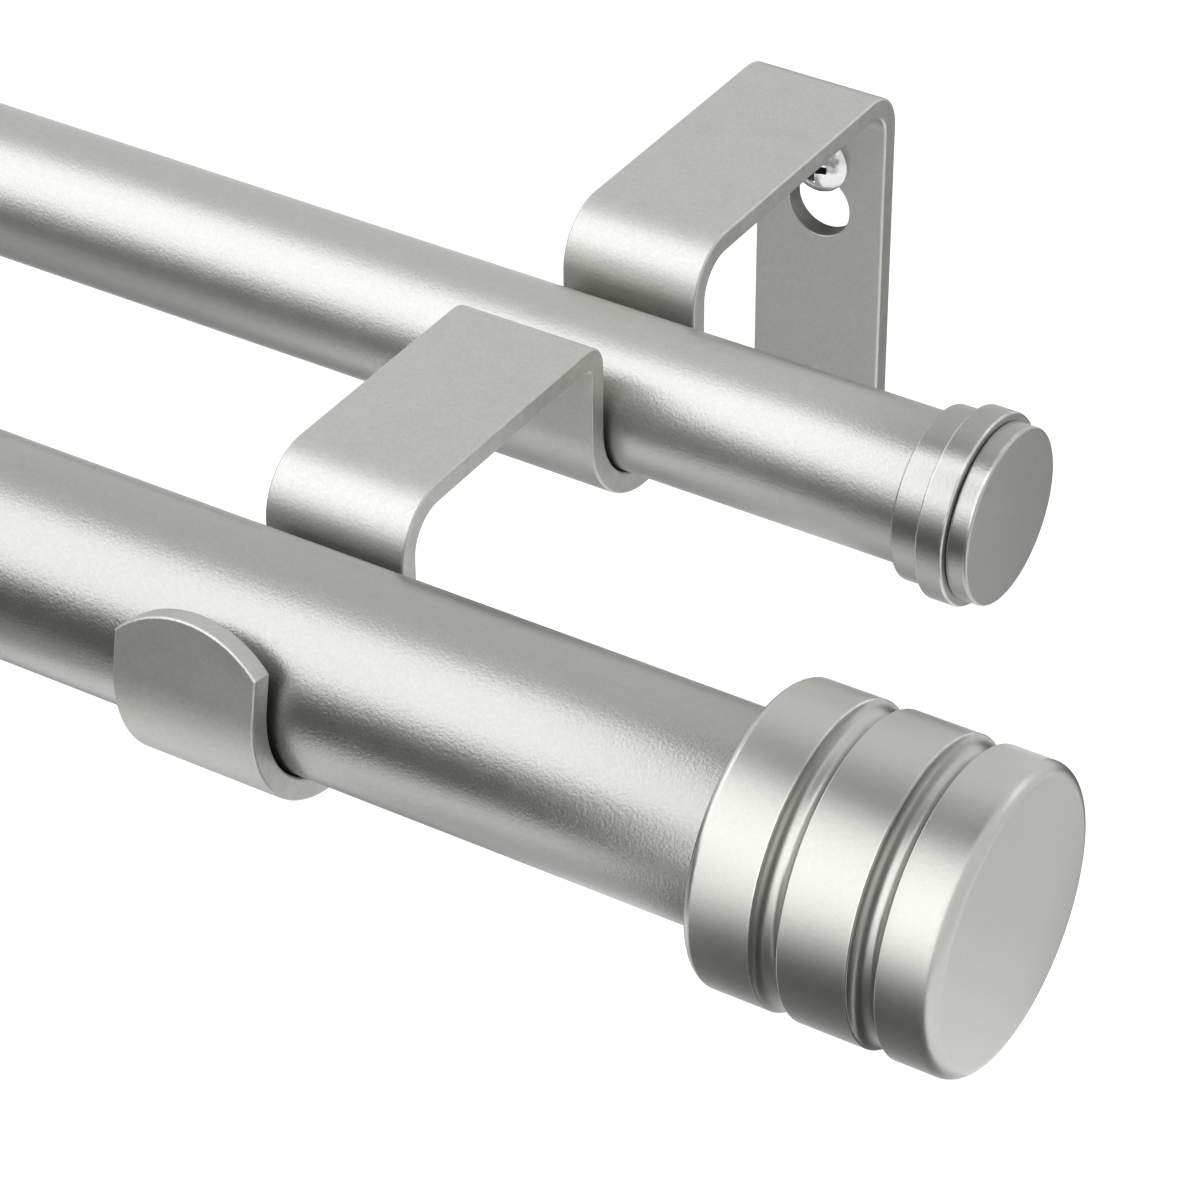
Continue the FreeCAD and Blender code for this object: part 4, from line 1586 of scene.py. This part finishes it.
def studio_world(level):
    """White where it is seen, and an even light of a level where it falls."""
    world = bpy.data.worlds.new("studio_world")
    tree, end = emptied(world, "ShaderNodeOutputWorld")
    seen, falling = [
        add_node(tree, "ShaderNodeBackground", {"Color": WHITE, "Strength": strength}).outputs[0]
        for strength in (1.0, level)
    ]
    set_inputs(tree, end, {"Surface": mixed_shader(tree, seen_rays(tree), falling, seen)})
    bpy.context.scene.world = world


def studio_floor(drop, colour, glow):
    """A square of matt pale paper, with a little glow where it is seen.

    The glow makes its open parts white and keeps the pole's shadow.
    """
    half = FLOOR_SIZE / 2.0
    mesh = bpy.data.meshes.new("studio_floor")
    mesh.from_pydata([(-half, -half, -drop), (half, -half, -drop), (half, half, -drop),
                      (-half, half, -drop)], [], [(0, 1, 2, 3)])
    paper = bpy.data.materials.new("studio_paper")
    tree, end = emptied(paper, "ShaderNodeOutputMaterial")
    matt = add_node(tree, "ShaderNodeBsdfDiffuse", {"Color": (*colour, 1.0)})
    light = add_node(tree, "ShaderNodeEmission", {
        "Color": WHITE, "Strength": ranged(tree, seen_rays(tree), low=0.0, high=glow),
    })
    both = add_node(tree, "ShaderNodeAddShader", {0: matt.outputs[0], 1: light.outputs[0]})
    set_inputs(tree, end, {"Surface": both.outputs[0]})
    mesh.materials.append(paper)
    stage_object("studio_floor", mesh)


def studio_card(name, rows, greys, holds_back=False, one_sided=False):
    """A card that only mirrors in gloss: the camera and matt surfaces don't see it.

    It has rows of points with a grey at each, where 1 is white. It holds back the lamps behind
    it or lets them pass, and a one-sided card is clear from behind.
    """
    rows, greys = np.asarray(rows, float), np.asarray(greys, np.float32)
    count, stations = rows.shape[:2]
    row, station = np.meshgrid(np.arange(count - 1), np.arange(stations - 1), indexing="ij")
    first = (row * stations + station).ravel()
    quads = np.stack([first, first + 1, first + 1 + stations, first + stations], axis=1)
    mesh = bpy.data.meshes.new(name)
    mesh.from_pydata(rows.reshape(-1, 3).tolist(), [], quads.tolist())
    mesh.attributes.new("grey", "FLOAT", "POINT").data.foreach_set("value", greys.ravel())
    material = bpy.data.materials.new(name)
    tree, end = emptied(material, "ShaderNodeOutputMaterial")
    grey = add_node(tree, "ShaderNodeAttribute", attribute_name="grey").outputs["Fac"]
    face = add_node(
        tree, "ShaderNodeEmission", {"Color": WHITE, "Strength": grey}
    ).outputs[0]
    if one_sided:
        behind = add_node(tree, "ShaderNodeNewGeometry").outputs["Backfacing"]
        clear = add_node(tree, "ShaderNodeBsdfTransparent").outputs[0]
        face = mixed_shader(tree, behind, face, clear)
    set_inputs(tree, end, {"Surface": face})
    mesh.materials.append(material)
    card = stage_object(name, mesh)
    card.visible_camera = card.visible_diffuse = card.visible_transmission = False
    card.visible_shadow = holds_back
    return card


def dark_card():
    """The card in front of the tubes that makes the dark band along their fronts."""
    width, height = DARK_SIZE
    rows = [[(x, y, 0.0) for x in (-width / 2.0, width / 2.0)]
            for y in (-height / 2.0, height / 2.0)]
    card = studio_card("dark_card", rows, np.full((2, 2), DARK_GREY))
    card.matrix_world = towards_target(DARK_WAY, DARK_DISTANCE, DARK_ACROSS)


def flat_card(name, low, high, left_grey, right_grey):
    """A card between two corners, whose grey goes from its left edge's to its right edge's."""
    low, high = np.asarray(low, float), np.asarray(high, float)
    step = np.array([high[0] - low[0], 0.0, 0.0])
    studio_card(name, [[low, low + step], [high - step, high]], [(left_grey, right_grey)] * 2)


def round_card(name, centre, degrees, rows, gain, holds_back, one_sided):
    """A card round an axis along X, whose grey changes round it and from row to row.

    In the row at x with the radius r, the point at the angle a lies at
    (x, y0 + r * cos a, z0 + r * sin a).
    """
    angle = np.linspace(degrees[-1], degrees[0], ROUND_CARD_POINTS)
    way = np.stack([0.0 * angle, np.cos(np.radians(angle)), np.sin(np.radians(angle))], axis=1)
    points = [np.array([x, centre.y, centre.z]) + radius * way for x, radius, greys in rows]
    tones = [gain * np.interp(angle, degrees, greys) for x, radius, greys in rows]
    studio_card(name, points, tones, holds_back, one_sided)


def studio_camera():
    """The camera at the photograph's place, looking down from in front and to the right of
    the poles' ends through a long lens."""
    lens = bpy.data.cameras.new("photo_camera")
    lens.lens, lens.sensor_width = LENS, SENSOR
    lens.clip_start, lens.clip_end = 0.01, 100.0
    camera = stage_object("photo_camera", lens)
    camera.matrix_world = facing(CAMERA_PLACE, CAMERA_AHEAD, CAMERA_RIGHT)
    bpy.context.scene.camera = camera


class CURTAINPOLE_OT_studio(bpy.types.Operator):
    """Set the plain floor, the soft lamps, the mirrored cards and the camera"""

    bl_idname = "curtainpole.studio"
    bl_label = "Set the studio"

    def execute(self, context):
        studio = context.scene.curtain_pole_studio
        studio_floor(studio.floor_drop, studio.floor_colour, studio.floor_glow)
        studio_world(studio.room_light)
        softbox("key_softbox", KEY_WAY, KEY_SIZE, studio.key_light, studio.lamp_colour)
        softbox("rim_softbox", RIM_WAY, RIM_SIZE, studio.rim_light, studio.lamp_colour)
        dark_card()
        for card in FLAT_CARDS:
            flat_card(*card)
        for name, cap, degrees, rows in ROUND_CARDS:
            # only the thick cap's own card is seen from both sides and holds back the lamps
            own = name == "cap_card"
            gain = studio.cap_light if own else 1.0
            round_card(name, middle_of(cap), degrees, rows, gain, own, not own)
        studio_camera()
        context.scene.view_settings.view_transform = "Standard"
        return {"FINISHED"}


class CURTAINPOLE_PT_sidebar(bpy.types.Panel):
    """The curtain pole's sizes, colours and makers"""

    bl_label = "Double curtain pole"
    bl_idname = "CURTAINPOLE_PT_sidebar"
    bl_space_type = "VIEW_3D"
    bl_region_type = "UI"
    bl_category = "Curtain pole"

    def draw(self, context):
        for group_name in GROUPS:
            group = getattr(context.scene, group_name)
            box = self.layout.box()
            for name in group.bl_rna.properties.keys():
                if name not in ("rna_type", "name"):
                    box.prop(group, name)
        for operator in OPERATORS:
            self.layout.operator(operator.bl_idname)


OPERATORS = (
    CURTAINPOLE_OT_tubes,
    CURTAINPOLE_OT_caps,
    CURTAINPOLE_OT_brackets,
    CURTAINPOLE_OT_screws,
    CURTAINPOLE_OT_studio,
)
GROUPS = {
    "curtain_pole_caps": CurtainPoleCaps,
    "curtain_pole_brackets": CurtainPoleBrackets,
    "curtain_pole_screws": CurtainPoleScrews,
    "curtain_pole_finish": CurtainPoleFinish,
    "curtain_pole_studio": CurtainPoleStudio,
}


def register():
    for name, group in GROUPS.items():
        bpy.utils.register_class(group)
        setattr(bpy.types.Scene, name, bpy.props.PointerProperty(type=group))
    for operator in OPERATORS:
        bpy.utils.register_class(operator)
    bpy.utils.register_class(CURTAINPOLE_PT_sidebar)


def unregister():
    bpy.utils.unregister_class(CURTAINPOLE_PT_sidebar)
    for operator in reversed(OPERATORS):
        bpy.utils.unregister_class(operator)
    for name, group in reversed(GROUPS.items()):
        delattr(bpy.types.Scene, name)
        bpy.utils.unregister_class(group)


def main():
    """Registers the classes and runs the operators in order."""
    register()
    bpy.ops.curtainpole.tubes()
    bpy.ops.curtainpole.caps()
    bpy.ops.curtainpole.brackets()
    bpy.ops.curtainpole.screws()
    bpy.ops.curtainpole.studio()


if __name__ == "__main__":
    main()
